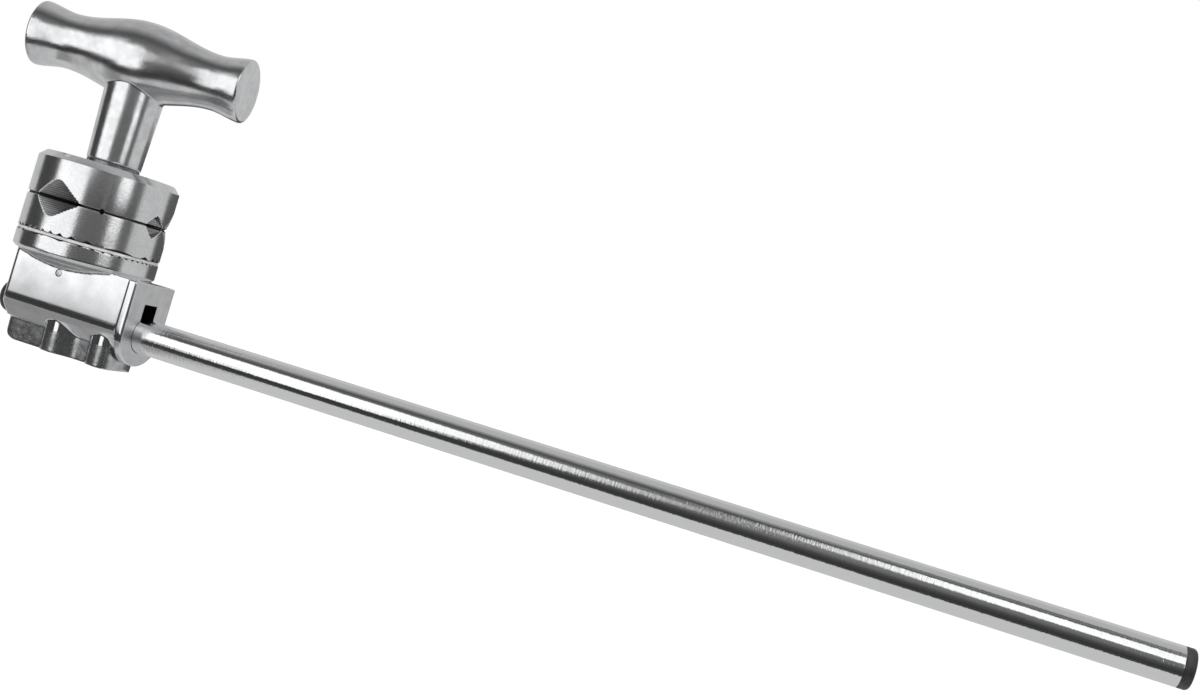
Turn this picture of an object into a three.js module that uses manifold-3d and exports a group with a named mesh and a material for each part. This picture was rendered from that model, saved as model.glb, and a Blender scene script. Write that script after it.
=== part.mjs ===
// A grip arm: a chromed rod with a clamping head on one end.
// The rod's axis is the X axis, the clamp's axis is the Z axis, and all sizes are in millimetres.

import * as THREE from 'three';
import { mergeVertices } from 'three/addons/utils/BufferGeometryUtils.js';
import Module from 'manifold-3d';

const wasm = await Module();
wasm.setup();

// Rod and its two end caps
const rodDiameter = 15.875;
const rodWall = 2.4;
const rodReach = 496.3; // clamp axis to the end of the chrome
const rodTail = 29.9; // clamp axis to the rod's other end
const capHeadLength = 4.2;
const capEdgeRadius = 1.6;
const capStemLength = 10;

// Clamp: heights are measured from the rod's axis
const splitHeight = 49.1; // to the plane where the jaws meet
const jawDiameter = 63.5;
const jawGap = 1.1; // round the rim
const landGap = 0.15; // between the flat lands inside the rim
const landInset = 1.6; // from the jaws' rim
const upperJawHeight = 19.95;
const lowerJawHeight = 14.95;
const jawChamfer = 3;
const jawTurnDegrees = -31; // which way the widest channel faces

// Jaw channels: each is a square bar's outline on edge, with a rounded root
const wideChannelWidth = 19.7;
const wideChannelOffset = 14.9;
const wideChannelRoot = 3.7;
const middleChannelWidth = 14.2;
const middleChannelOffset = 16;
const middleChannelRoot = 2.2;
const narrowChannelWidth = 11.4;
const narrowChannelOffset = 14.4;
const narrowChannelRoot = 0.7;
const notchWidth = 3;
const notchOffset = 11.9;
const notchRoot = 0.2;
const ridgePitch = 1.3; // the channels' walls are ridged lengthwise
const ridgeDepth = 0.35;

// Tooth grooves, cut straight across each face that grips the friction ring
const discGroovePitch = 3.08;
const discGrooveShift = -0.2; // from the clamp's axis to the nearest groove
const discGrooveWidth = 1.7;
const discGrooveDepth = 0.85;
const jawGroovePitch = 3.6;
const jawGrooveShift = -0.3;
const jawGrooveWidth = 2.5;
const jawGrooveDepth = 1.3;

// Friction ring and the disc that it lies on
const ringThickness = 1.4;
const ringWidth = 12.4;
const ringInset = 0.35; // the ring's rim lies this far inside the jaws' rim
const hubHeight = 0.9; // centres the ring
const discThickness = 7.7;
const discEdgeRadius = 1.1;
const lipInset = 1.2;
const lipHeight = 0.5;
const coneDepth = 4.6;
const coneStepHeight = 0.5;
const coneStepShare = 0.5; // where the step lies between the lip and the block

// Block under the disc
const blockWidth = 31.4;
const blockLeft = 25.5; // clamp axis to the left end
const blockRight = 40; // clamp axis to the right end
const blockTopDrop = 0.6; // from the disc's underside
const blockCornerRadius = 2.5;
const frontFaceDrop = 0.9; // the front face ends this far below the rod's axis
const endPlateThickness = 4;

// Keel with its finger grips
const keelDepth = 18.8; // below the rod's axis
const keelWidth = 16.6;
const keelLeft = 25.3;
const keelRight = 34.6;
const keelEndRadius = 3.2; // seen from above
const keelLeftRadius = 5.6; // of its lower corners, seen from the side
const keelRightRadius = 2;
const lobeCrest = 13.1; // from the middle plane
const lobeCrestPlaces = [3.4, 28];
const lobeRise = 7.2; // steep side
const lobeFall = 11.6; // long side

// Clamp bolt, its slot and the two pins
const boltDiameter = 9.525;
const boltTop = 108.5; // above the rod's axis
const boltEndChamfer = 0.8;
const slotWidth = 10;
const slotTop = 14.4; // above the rod's axis
const slotOverrun = 1.4; // past the bolt
const boltPinDiameter = 3.175;
const boltPinRise = 2.7; // above the slot's top
const rodPinDiameter = 4.76;
const rodPinPlace = 12; // left of the clamp axis
const pinWallShare = 0.2; // of the pin's diameter
const pinSlitDegrees = 50;
const pinRecess = 0.35;

// Thrust bearing
const upperRaceThickness = 1.9;
const bearingDiameter = 24;
const lowerRaceThickness = 1;
const needleDiameter = 2;
const needleCount = 12;
const cageThickness = 1.2;
const cageBarWidth = 1.4;
const needleSides = 8;

// Spring and dowels between the jaws
const springWire = 1.1;
const springTurns = 6;
const springStepsPerTurn = 10;
const springSides = 6;
const springSeatDepth = 6.2; // into each jaw
const dowelDiameter = 4;
const dowelSeatDepth = 9.5;
const dowelLength = 21;
const dowelPlaces = [[-2, 25.2], [-2, -25.6]]; // in the jaws' own axes

// Handle
const barLength = 101.6;
const barHeight = 72.2; // from the jaws' split plane to the bar's axis
const barCrestDiameter = 37.2;
const barNeckDiameter = 25.8;
const barRimDiameter = 30;
const barRimEdge = 1.1;
const neckShare = 0.7; // where the neck lies between the bar's middle and its rim
const barSteps = 11;
const barTurnDegrees = 12;
const bossTopDiameter = 27.8;
const bossBottomDiameter = 24.6;
const bossChamfer = 0.8;
const insertAcrossFlats = 15;
const insertLength = 30;
const insertInset = 1.5; // above the boss's lower face
const boltHeadroom = 2.5; // above the bolt's end, inside the handle

// Clearances
const fixedGap = 0.2; // round what is fixed in a hole
const runningGap = 0.3; // round what turns or slides in a hole
const faceGap = 0.1; // between faces that turn on each other
const cutOverrun = 2; // a cut runs this far past the faces it opens

// How finely round forms are cut
const jawSegments = 80;
const handleSegments = 40;
const rodSegments = 36;
const smallSegments = 20;
const arcSteps = 3;
const lobeSteps = 7;
const weldDistance = 1e-4;
const turn = Math.PI * 2;

// Radii and levels that follow from the sizes above
const rodRadius = rodDiameter / 2;
const rodBore = rodRadius - rodWall;
const jawRadius = jawDiameter / 2;
const upperJawBottom = splitHeight + jawGap / 2;
const upperJawTop = upperJawBottom + upperJawHeight;
const lowerJawTop = splitHeight - jawGap / 2;
const lowerJawBottom = lowerJawTop - lowerJawHeight;
const ringTop = lowerJawBottom - faceGap;
const discTop = ringTop - ringThickness;
const discBottom = discTop - discThickness;
const landRadius = jawRadius - landInset;
const upperLandBottom = splitHeight + landGap / 2;
const lowerLandTop = splitHeight - landGap / 2;
const blockTop = discBottom - blockTopDrop;
const ringOuterRadius = jawRadius - ringInset;
const ringInnerRadius = ringOuterRadius - ringWidth;
const hubRadius = ringInnerRadius - fixedGap;
const boltRadius = boltDiameter / 2;
const boltBottom = rodRadius + fixedGap * 2;
const boltPinHeight = slotTop + boltPinRise;
const lowerRaceTop = upperJawTop - needleDiameter - faceGap;
const bearingFloor = lowerRaceTop - lowerRaceThickness;
const upperRaceBottom = upperJawTop + faceGap;
const bossBottom = upperRaceBottom + upperRaceThickness;
const insertBottom = bossBottom + insertInset;
const bearingBore = boltRadius + runningGap;
const springRadius = boltRadius + runningGap + springWire / 2;
const springSeatRadius = springRadius + springWire / 2 + runningGap;
const jawTurn = THREE.MathUtils.degToRad(jawTurnDegrees);

const finishes = {
  polishedCasting: { color: 0xd2d4d6, roughness: 0.22, metalness: 1 },
  turnedAluminium: { color: 0xcfd0d2, roughness: 0.3, metalness: 1 },
  chrome: { color: 0xdfe1e3, roughness: 0.12, metalness: 1 },
  steel: { color: 0xb4b6b9, roughness: 0.35, metalness: 1 },
  paleRing: { color: 0xc9c9c5, roughness: 0.6, metalness: 0 },
  blackPlastic: { color: 0x17181a, roughness: 0.5, metalness: 0 },
};

// A closed geometry becomes a solid that can be joined and cut.
function solidOf(geometry) {
  const bare = geometry.index ? geometry.toNonIndexed() : geometry.clone();
  bare.deleteAttribute('normal');
  bare.deleteAttribute('uv');
  const welded = mergeVertices(bare, weldDistance);
  const corners = welded.index.array;
  const kept = [];
  for (let i = 0; i < corners.length; i += 3) {
    const [a, b, c] = [corners[i], corners[i + 1], corners[i + 2]];
    if (a !== b && b !== c && c !== a) {
      kept.push(a, b, c);
    }
  }
  if (signedVolume(welded.attributes.position, kept) < 0) {
    kept.reverse();
  }
  const vertProperties = new Float32Array(welded.attributes.position.array);
  return new wasm.Manifold(new wasm.Mesh({ numProp: 3, vertProperties, triVerts: new Uint32Array(kept) }));
}

function signedVolume(position, corners) {
  const [a, b, c] = [new THREE.Vector3(), new THREE.Vector3(), new THREE.Vector3()];
  let sum = 0;
  for (let i = 0; i < corners.length; i += 3) {
    a.fromBufferAttribute(position, corners[i]);
    b.fromBufferAttribute(position, corners[i + 1]);
    c.fromBufferAttribute(position, corners[i + 2]);
    sum += a.dot(b.cross(c));
  }
  return sum / 6;
}

function meshOf(name, solid, finish) {
  const { vertProperties, triVerts } = solid.getMesh();
  const geometry = new THREE.BufferGeometry();
  geometry.setAttribute('position', new THREE.BufferAttribute(vertProperties, 3));
  geometry.setIndex(new THREE.BufferAttribute(triVerts, 1));
  geometry.computeVertexNormals();
  const mesh = new THREE.Mesh(geometry, new THREE.MeshStandardMaterial(finish));
  mesh.name = name;
  return mesh;
}

// A profile of [radius, height] points turned round the Z axis.
function revolve(profile, segments) {
  const points = profile.map(([radius, height]) => new THREE.Vector2(radius, height));
  return new THREE.LatheGeometry(points, segments).rotateX(turn / 4);
}

// A ring's profile is closed, so its last point repeats its first.
function ringSolid(innerRadius, outerRadius, bottom, top, segments) {
  const corners = [[innerRadius, bottom], [outerRadius, bottom], [outerRadius, top], [innerRadius, top]];
  return solidOf(revolve([...corners, corners[0]], segments));
}

// A round bar from one height to another, its axis upright at x, y.
function uprightBar(radius, bottom, top, segments, x = 0, y = 0) {
  const bar = new THREE.CylinderGeometry(radius, radius, top - bottom, segments);
  return solidOf(bar.rotateX(turn / 4).translate(x, y, (top + bottom) / 2));
}

// A round bar along X, on the rod's axis.
function levelBar(radius, left, right, segments) {
  const bar = new THREE.CylinderGeometry(radius, radius, right - left, segments);
  return solidOf(bar.rotateZ(turn / 4).translate((left + right) / 2, 0, 0));
}

// A box between two corners.
function boxSolid(low, high) {
  const size = high.map((value, i) => value - low[i]);
  const middle = high.map((value, i) => (value + low[i]) / 2);
  return solidOf(new THREE.BoxGeometry(...size).translate(...middle));
}

function extrude(shape, depth) {
  return new THREE.ExtrudeGeometry(shape, { depth, bevelEnabled: false, curveSegments: arcSteps });
}

// The ridges of one wall between its edge on the split plane and its root. Their
// crests lie on the wall's own plane and their valleys are cut into it.
function ridgePoints(half, tangent) {
  const count = Math.floor((half - tangent) * Math.SQRT2 / ridgePitch - 1);
  const step = ridgePitch * Math.SQRT1_2;
  const depth = ridgeDepth * Math.SQRT1_2;
  const points = [];
  for (let i = 0; i < count; i += 1) {
    const start = step * (i + 1);
    points.push([half - start, start]);
    points.push([half - start - step / 2 + depth, start + step / 2 + depth]);
  }
  const end = step * (count + 1);
  return count > 0 ? [...points, [half - end, end]] : points;
}

// The outline of a channel, seen along it: both halves, with the split plane at height 0.
function channelOutline(width, root) {
  const tangent = root * Math.SQRT1_2;
  const half = width / 2;
  const wall = ridgePoints(half, tangent);
  const back = [...wall].reverse();
  const shape = new THREE.Shape();
  shape.moveTo(-half, 0);
  wall.forEach(([x, y]) => shape.lineTo(-x, -y));
  shape.lineTo(-tangent, tangent - half);
  shape.absarc(0, 2 * tangent - half, root, turn * 5 / 8, turn * 7 / 8, false);
  back.forEach(([x, y]) => shape.lineTo(x, -y));
  shape.lineTo(half, 0);
  wall.forEach(([x, y]) => shape.lineTo(x, y));
  shape.lineTo(tangent, half - tangent);
  shape.absarc(0, half - 2 * tangent, root, turn / 8, turn * 3 / 8, false);
  back.forEach(([x, y]) => shape.lineTo(-x, y));
  shape.closePath();
  return shape;
}

// The four channels in the jaws' own axes: two run one way and two cross them.
function channelCutters() {
  const length = jawDiameter + 2 * cutOverrun;
  const channels = [
    { width: wideChannelWidth, root: wideChannelRoot, offset: wideChannelOffset, cross: false },
    { width: middleChannelWidth, root: middleChannelRoot, offset: -middleChannelOffset, cross: false },
    { width: narrowChannelWidth, root: narrowChannelRoot, offset: narrowChannelOffset, cross: true },
    { width: notchWidth, root: notchRoot, offset: -notchOffset, cross: true },
  ];
  return channels.map(({ width, root, offset, cross }) => {
    const cutter = extrude(channelOutline(width, root), length).rotateX(turn / 4);
    cutter.translate(offset, length / 2, splitHeight);
    return solidOf(cross ? cutter.rotateZ(turn / 4) : cutter);
  });
}

function cutAll(solid, cutters) {
  return cutters.reduce((left, cutter) => left.subtract(cutter), solid);
}

// Straight V-shaped grooves side by side, running along Y in a level face.
// The direction is 1 where they are cut upwards into it and -1 where downwards.
function grooveCutters({ pitch, shift, width, depth }, face, direction) {
  const reach = jawRadius + cutOverrun;
  const count = Math.ceil(jawRadius / pitch);
  const cutters = [];
  for (let i = -count; i <= count; i += 1) {
    const section = new THREE.Shape();
    section.moveTo(-width / 2, 0);
    section.lineTo(0, depth * direction);
    section.lineTo(width / 2, 0);
    section.lineTo(width / 2, -cutOverrun * direction);
    section.lineTo(-width / 2, -cutOverrun * direction);
    section.closePath();
    const bar = extrude(section, reach * 2).rotateX(turn / 4).translate(i * pitch + shift, reach, face);
    cutters.push(solidOf(bar));
  }
  return cutters;
}

function turnedSolid(solid, angle) {
  const matrix = new THREE.Matrix4().makeRotationZ(angle);
  return solid.transform(matrix.toArray());
}

function dowelHoles(gap, bottom, top) {
  return dowelPlaces.map(([x, y]) => uprightBar(dowelDiameter / 2 + gap, bottom, top, smallSegments, x, y));
}

function upperJaw() {
  const blank = solidOf(revolve([
    [0, upperLandBottom],
    [landRadius, upperLandBottom],
    [landRadius, upperJawBottom],
    [jawRadius, upperJawBottom],
    [jawRadius, upperJawTop - jawChamfer],
    [jawRadius - jawChamfer, upperJawTop],
    [0, upperJawTop],
  ], jawSegments));
  const dowelTop = lowerJawTop - dowelSeatDepth + dowelLength;
  const jaw = cutAll(blank, [
    uprightBar(bearingBore, upperJawBottom - cutOverrun, upperJawTop + cutOverrun, smallSegments),
    uprightBar(bearingDiameter / 2 + runningGap, bearingFloor, upperJawTop + cutOverrun, rodSegments),
    uprightBar(springSeatRadius, upperJawBottom - cutOverrun, upperJawBottom + springSeatDepth, smallSegments),
    ...dowelHoles(runningGap, upperJawBottom - cutOverrun, dowelTop + jawGap),
    ...channelCutters(),
  ]);
  return meshOf('upper_jaw', turnedSolid(jaw, jawTurn), finishes.turnedAluminium);
}

function lowerJaw() {
  const blank = solidOf(revolve([
    [0, lowerJawBottom],
    [jawRadius, lowerJawBottom],
    [jawRadius, lowerJawTop],
    [landRadius, lowerJawTop],
    [landRadius, lowerLandTop],
    [0, lowerLandTop],
  ], jawSegments));
  const grooves = {
    pitch: jawGroovePitch, shift: jawGrooveShift, width: jawGrooveWidth, depth: jawGrooveDepth,
  };
  const jaw = cutAll(blank, [
    ...grooveCutters(grooves, lowerJawBottom, 1),
    uprightBar(bearingBore, lowerJawBottom - cutOverrun, lowerJawTop + cutOverrun, smallSegments),
    uprightBar(springSeatRadius, lowerJawTop - springSeatDepth, lowerJawTop + cutOverrun, smallSegments),
    ...dowelHoles(fixedGap, lowerJawTop - dowelSeatDepth, lowerJawTop + cutOverrun),
    ...channelCutters(),
  ]);
  return meshOf('lower_jaw', turnedSolid(jaw, jawTurn), finishes.turnedAluminium);
}

function jawDowels() {
  const bottom = lowerJawTop - dowelSeatDepth;
  const names = ['jaw_dowel_rear', 'jaw_dowel_front'];
  return dowelPlaces.map(([x, y], i) => {
    const dowel = uprightBar(dowelDiameter / 2, bottom, bottom + dowelLength, smallSegments, x, y);
    return meshOf(names[i], turnedSolid(dowel, jawTurn), finishes.steel);
  });
}

// The spring's wire follows a helix between its two seats.
class Helix extends THREE.Curve {
  constructor(radius, bottom, top, turns) {
    super();
    Object.assign(this, { radius, bottom, top, turns });
  }

  getPoint(share, target = new THREE.Vector3()) {
    const angle = share * this.turns * turn;
    const height = this.bottom + share * (this.top - this.bottom);
    return target.set(this.radius * Math.cos(angle), this.radius * Math.sin(angle), height);
  }
}

function jawSpring() {
  const bottom = lowerJawTop - springSeatDepth + springWire / 2 + faceGap;
  const top = upperJawBottom + springSeatDepth - springWire / 2 - faceGap;
  const section = new THREE.Shape();
  section.absarc(0, 0, springWire / 2, 0, turn, false);
  const helix = new Helix(springRadius, bottom, top, springTurns);
  const wire = new THREE.ExtrudeGeometry(section, {
    extrudePath: helix,
    steps: springTurns * springStepsPerTurn,
    curveSegments: springSides / 2,
  });
  return meshOf('jaw_spring', solidOf(wire), finishes.steel);
}

function frictionRing() {
  const ring = ringSolid(ringInnerRadius, ringOuterRadius, discTop, ringTop, jawSegments);
  return meshOf('friction_ring', ring, finishes.paleRing);
}

// The grooves in the disc's top run along the rod and stop at the hub.
function discGrooves() {
  const grooves = {
    pitch: discGroovePitch, shift: discGrooveShift, width: discGrooveWidth, depth: discGrooveDepth,
  };
  const hub = uprightBar(ringInnerRadius, discTop - cutOverrun, discTop + 2 * cutOverrun, jawSegments);
  return grooveCutters(grooves, discTop, -1).map((cutter) => turnedSolid(cutter, turn / 4).subtract(hub));
}

// The disc narrows below its lip in two shallow cones with a step between them.
function discSolid() {
  const lipRadius = jawRadius - lipInset;
  const lipBottom = discBottom - lipHeight;
  const coneBottom = discBottom - coneDepth;
  const stepRadius = lipRadius + (blockWidth / 2 - lipRadius) * coneStepShare;
  const stepHeight = lipBottom + (coneBottom - lipBottom) * coneStepShare;
  const edge = [];
  for (let i = 0; i <= arcSteps; i += 1) {
    const angle = turn / 4 * (i / arcSteps);
    edge.push([
      jawRadius - discEdgeRadius * (1 - Math.sin(angle)),
      discBottom + discEdgeRadius * (1 - Math.cos(angle)),
    ]);
  }
  return solidOf(revolve([
    [0, coneBottom],
    [blockWidth / 2, coneBottom],
    [stepRadius, stepHeight - coneStepHeight / 2],
    [stepRadius, stepHeight + coneStepHeight / 2],
    [lipRadius, lipBottom],
    [lipRadius, discBottom],
    ...edge,
    [jawRadius, discTop],
    [hubRadius, discTop],
    [hubRadius, discTop + hubHeight],
    [0, discTop + hubHeight],
  ], jawSegments));
}

// The block seen along the rod: upright sides, then a slope at 45 degrees in to the keel.
function blockSolid() {
  const side = blockWidth / 2;
  const slopeBottom = -frontFaceDrop - (side - keelWidth / 2);
  const section = new THREE.Shape();
  section.moveTo(-side, blockTop);
  section.lineTo(-side, -frontFaceDrop);
  section.lineTo(-keelWidth / 2, slopeBottom);
  section.lineTo(keelWidth / 2, slopeBottom);
  section.lineTo(side, -frontFaceDrop);
  section.lineTo(side, blockTop);
  section.closePath();
  const length = blockLeft + blockRight;
  const bar = extrude(section, length).rotateX(turn / 4).rotateZ(turn / 4).translate(-blockLeft, 0, 0);
  return solidOf(bar).intersect(blockPlan());
}

// The block seen from above: its upright corners are rounded.
function blockPlan() {
  const side = blockWidth / 2;
  const round = blockCornerRadius;
  const plan = new THREE.Shape();
  plan.moveTo(-blockLeft + round, -side);
  plan.lineTo(blockRight - round, -side);
  plan.absarc(blockRight - round, round - side, round, -turn / 4, 0, false);
  plan.lineTo(blockRight, side - round);
  plan.absarc(blockRight - round, side - round, round, 0, turn / 4, false);
  plan.lineTo(-blockLeft + round, side);
  plan.absarc(-blockLeft + round, side - round, round, turn / 4, turn / 2, false);
  plan.lineTo(-blockLeft, round - side);
  plan.absarc(-blockLeft + round, round - side, round, turn / 2, turn * 3 / 4, false);
  plan.closePath();
  return solidOf(extrude(plan, blockTop + keelDepth).translate(0, 0, -keelDepth));
}

// The plate at the block's right end is flat on top and round below, about the rod.
function endPlateSolid() {
  const side = blockWidth / 2;
  const section = new THREE.Shape();
  section.moveTo(-side, blockTop);
  section.lineTo(-side, 0);
  section.absarc(0, 0, side, turn / 2, turn, false);
  section.lineTo(side, blockTop);
  section.closePath();
  const plate = new THREE.ExtrudeGeometry(section, {
    depth: endPlateThickness,
    bevelEnabled: false,
    curveSegments: smallSegments / 2,
  });
  plate.rotateX(turn / 4).rotateZ(turn / 4).translate(blockRight - endPlateThickness, 0, 0);
  return solidOf(plate).intersect(blockPlan());
}

// How far the keel's wall stands from the middle plane at x: each lobe rises
// steeply out of the flat wall and falls away slowly towards the rod's free end.
function keelHalfWidth(x) {
  const flat = keelWidth / 2;
  const lobe = lobeCrestPlaces.find((place) => x >= place - lobeRise && x <= place + lobeFall);
  if (lobe === undefined) {
    return flat;
  }
  const away = x < lobe ? (lobe - x) / lobeRise : (x - lobe) / lobeFall;
  const height = x < lobe ? Math.sqrt(Math.max(0, 1 - away * away)) : (1 + Math.cos(away * turn / 2)) / 2;
  return flat + (lobeCrest - flat) * height;
}

function keelSolid() {
  const places = [];
  for (const lobe of lobeCrestPlaces) {
    for (let i = 0; i <= lobeSteps; i += 1) {
      places.push(lobe - lobeRise * Math.cos(turn / 4 * (i / lobeSteps)));
    }
    for (let i = 1; i <= lobeSteps; i += 1) {
      places.push(lobe + lobeFall * (i / lobeSteps));
    }
  }
  const limit = keelRight - keelEndRadius;
  const wall = places.filter((x) => x < limit).map((x) => [x, keelHalfWidth(x)]);
  const last = keelHalfWidth(limit);
  const side = keelWidth / 2;
  const round = keelEndRadius;
  const plan = new THREE.Shape();
  plan.moveTo(-keelLeft + round, -side);
  wall.forEach(([x, width]) => plan.lineTo(x, -width));
  plan.lineTo(limit, -last);
  plan.quadraticCurveTo(keelRight, round - last, keelRight, 0);
  plan.quadraticCurveTo(keelRight, last - round, limit, last);
  wall.reverse().forEach(([x, width]) => plan.lineTo(x, width));
  plan.lineTo(-keelLeft + round, side);
  plan.absarc(-keelLeft + round, side - round, round, turn / 4, turn / 2, false);
  plan.lineTo(-keelLeft, round - side);
  plan.absarc(-keelLeft + round, round - side, round, turn / 2, turn * 3 / 4, false);
  plan.closePath();
  return solidOf(extrude(plan, keelDepth - frontFaceDrop).translate(0, 0, -keelDepth)).intersect(keelSide());
}

// The keel seen from the front: its lower corners are rounded.
function keelSide() {
  const left = keelLeftRadius;
  const right = keelRightRadius;
  const side = new THREE.Shape();
  side.moveTo(-keelLeft, 0);
  side.lineTo(-keelLeft, left - keelDepth);
  side.absarc(left - keelLeft, left - keelDepth, left, turn / 2, turn * 3 / 4, false);
  side.lineTo(keelRight - right, -keelDepth);
  side.absarc(keelRight - right, right - keelDepth, right, turn * 3 / 4, turn, false);
  side.lineTo(keelRight, 0);
  side.closePath();
  return solidOf(extrude(side, blockWidth).rotateX(turn / 4).translate(0, blockWidth / 2, 0));
}

function baseCasting() {
  const whole = discSolid().add(blockSolid()).add(endPlateSolid()).add(keelSolid());
  const slotSide = slotWidth / 2;
  const slotLeft = -boltRadius - slotOverrun;
  const casting = cutAll(whole, [
    ...discGrooves(),
    levelBar(rodRadius + fixedGap, -blockLeft - cutOverrun, blockRight + cutOverrun, rodSegments),
    boxSolid([slotLeft, -slotSide, 0], [blockRight + cutOverrun, slotSide, slotTop]),
    uprightBar(boltRadius + fixedGap, slotTop - cutOverrun, discTop + hubHeight + cutOverrun, smallSegments),
    crossBar(boltPinDiameter / 2 + fixedGap, blockWidth / 2 + cutOverrun, boltPinHeight),
    uprightBar(rodPinDiameter / 2 + fixedGap, -keelDepth - cutOverrun, 0, smallSegments, -rodPinPlace),
  ]);
  return meshOf('base_casting', casting, finishes.polishedCasting);
}

// A round bar across the head, through the clamp's axis.
function crossBar(radius, reach, height) {
  const bar = new THREE.CylinderGeometry(radius, radius, reach * 2, smallSegments);
  return solidOf(bar.translate(0, 0, height));
}

function clampBolt() {
  const blank = solidOf(revolve([
    [0, boltBottom],
    [boltRadius, boltBottom],
    [boltRadius, boltTop - boltEndChamfer],
    [boltRadius - boltEndChamfer, boltTop],
    [0, boltTop],
  ], smallSegments));
  const hole = crossBar(boltPinDiameter / 2 + fixedGap, boltRadius + cutOverrun, boltPinHeight);
  return meshOf('clamp_bolt', blank.subtract(hole), finishes.steel);
}

// The bolt hangs on a plain dowel pin.
function boltPin() {
  const pin = crossBar(boltPinDiameter / 2, blockWidth / 2 - pinRecess, boltPinHeight);
  return meshOf('bolt_pin', pin, finishes.steel);
}

// The rod's pin is a rolled strip: a tube with a slit along it.
function rodPin() {
  const bottom = pinRecess - keelDepth;
  const top = rodRadius - pinRecess;
  const outer = rodPinDiameter / 2;
  const inner = outer - rodPinDiameter * pinWallShare;
  const start = THREE.MathUtils.degToRad(pinSlitDegrees) / 2;
  const section = new THREE.Shape();
  section.absarc(0, 0, outer, start, turn - start, false);
  section.absarc(0, 0, inner, turn - start, start, true);
  section.closePath();
  const pin = new THREE.ExtrudeGeometry(section, {
    depth: top - bottom,
    bevelEnabled: false,
    curveSegments: smallSegments / 2,
  });
  return meshOf('rod_pin', solidOf(pin.translate(-rodPinPlace, 0, bottom)), finishes.steel);
}

function armRod() {
  const tube = levelBar(rodRadius, -rodTail, rodReach, rodSegments);
  const rod = cutAll(tube, [
    levelBar(rodBore, -rodTail - cutOverrun, rodReach + cutOverrun, smallSegments),
    uprightBar(rodPinDiameter / 2 + fixedGap, -rodDiameter, rodDiameter, smallSegments, -rodPinPlace),
  ]);
  return meshOf('arm_rod', rod, finishes.chrome);
}

// A cap has a rounded head as wide as the rod and a stem that fills its bore.
function endCap(name, place, direction) {
  const stem = rodBore - fixedGap;
  const edge = [];
  for (let i = 0; i <= arcSteps; i += 1) {
    const angle = turn / 4 * (i / arcSteps);
    edge.push([
      rodRadius - capEdgeRadius * (1 - Math.cos(angle)),
      capHeadLength - capEdgeRadius * (1 - Math.sin(angle)),
    ]);
  }
  const cap = revolve([
    [0, -capStemLength],
    [stem, -capStemLength],
    [stem, 0],
    [rodRadius, 0],
    ...edge,
    [0, capHeadLength],
  ], rodSegments);
  cap.rotateY(direction * turn / 4).translate(place, 0, 0);
  return meshOf(name, solidOf(cap), finishes.blackPlastic);
}

function lowerRace() {
  const race = ringSolid(bearingBore, bearingDiameter / 2, bearingFloor, lowerRaceTop, rodSegments);
  return meshOf('lower_race', race, finishes.steel);
}

function upperRace() {
  const race = ringSolid(bearingBore, bearingDiameter / 2, upperRaceBottom, bossBottom, rodSegments);
  return meshOf('upper_race', race, finishes.steel);
}

// The cage carries its needles like the spokes of a wheel.
function needleCage() {
  const middle = (lowerRaceTop + upperJawTop) / 2;
  const inner = bearingBore + cageBarWidth;
  const outer = bearingDiameter / 2;
  const half = cageThickness / 2;
  const radius = (needleDiameter - faceGap * 2) / 2;
  const length = outer - inner - 2 * cageBarWidth;
  let cage = ringSolid(inner, outer, middle - half, middle + half, rodSegments);
  for (let i = 0; i < needleCount; i += 1) {
    const needle = new THREE.CylinderGeometry(radius, radius, length, needleSides);
    needle.translate(0, (inner + outer) / 2, middle).rotateZ(turn * i / needleCount);
    cage = cage.add(solidOf(needle));
  }
  return meshOf('needle_cage', cage, finishes.steel);
}

// The bar's half outline: a crest in the middle, a neck and a flared rim.
function barRadiusAt(share) {
  const crest = barCrestDiameter / 2;
  const neck = barNeckDiameter / 2;
  const rim = barRimDiameter / 2;
  if (share < neckShare) {
    return neck + (crest - neck) * (1 + Math.cos(share / neckShare * turn / 2)) / 2;
  }
  const away = (share - neckShare) / (1 - neckShare);
  return neck + (rim - neck) * (1 - Math.cos(away * turn / 2)) / 2;
}

function barSolid() {
  const half = barLength / 2;
  const profile = [];
  for (let i = -barSteps; i <= barSteps; i += 1) {
    const share = Math.abs(i) / barSteps;
    profile.push([barRadiusAt(share), Math.sign(i) * share * (half - barRimEdge)]);
  }
  const flat = barRimDiameter / 2 - barRimEdge;
  const bar = revolve([[0, -half], [flat, -half], ...profile, [flat, half], [0, half]], handleSegments);
  bar.rotateY(turn / 4).rotateZ(THREE.MathUtils.degToRad(barTurnDegrees));
  return solidOf(bar.translate(0, 0, splitHeight + barHeight));
}

function hexBar(acrossFlats, bottom, top) {
  const corner = acrossFlats / Math.sqrt(3);
  return uprightBar(corner, bottom, top, 6);
}

function tHandle() {
  const barAxis = splitHeight + barHeight;
  const boss = solidOf(revolve([
    [0, bossBottom],
    [bossBottomDiameter / 2 - bossChamfer, bossBottom],
    [bossBottomDiameter / 2, bossBottom + bossChamfer],
    [bossTopDiameter / 2, barAxis - barCrestDiameter / 2],
    [bossTopDiameter / 2, barAxis],
    [0, barAxis],
  ], handleSegments));
  const handle = cutAll(boss.add(barSolid()), [
    uprightBar(bearingBore, bossBottom - cutOverrun, boltTop + boltHeadroom, smallSegments),
    hexBar(insertAcrossFlats + 2 * fixedGap, bossBottom - cutOverrun, insertBottom + insertLength + fixedGap),
  ]);
  return meshOf('t_handle', handle, finishes.polishedCasting);
}

function handleInsert() {
  const hex = hexBar(insertAcrossFlats, insertBottom, insertBottom + insertLength);
  const bore = uprightBar(
    boltRadius + runningGap,
    insertBottom - cutOverrun,
    insertBottom + insertLength + cutOverrun,
    smallSegments,
  );
  return meshOf('handle_insert', hex.subtract(bore), finishes.steel);
}

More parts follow.
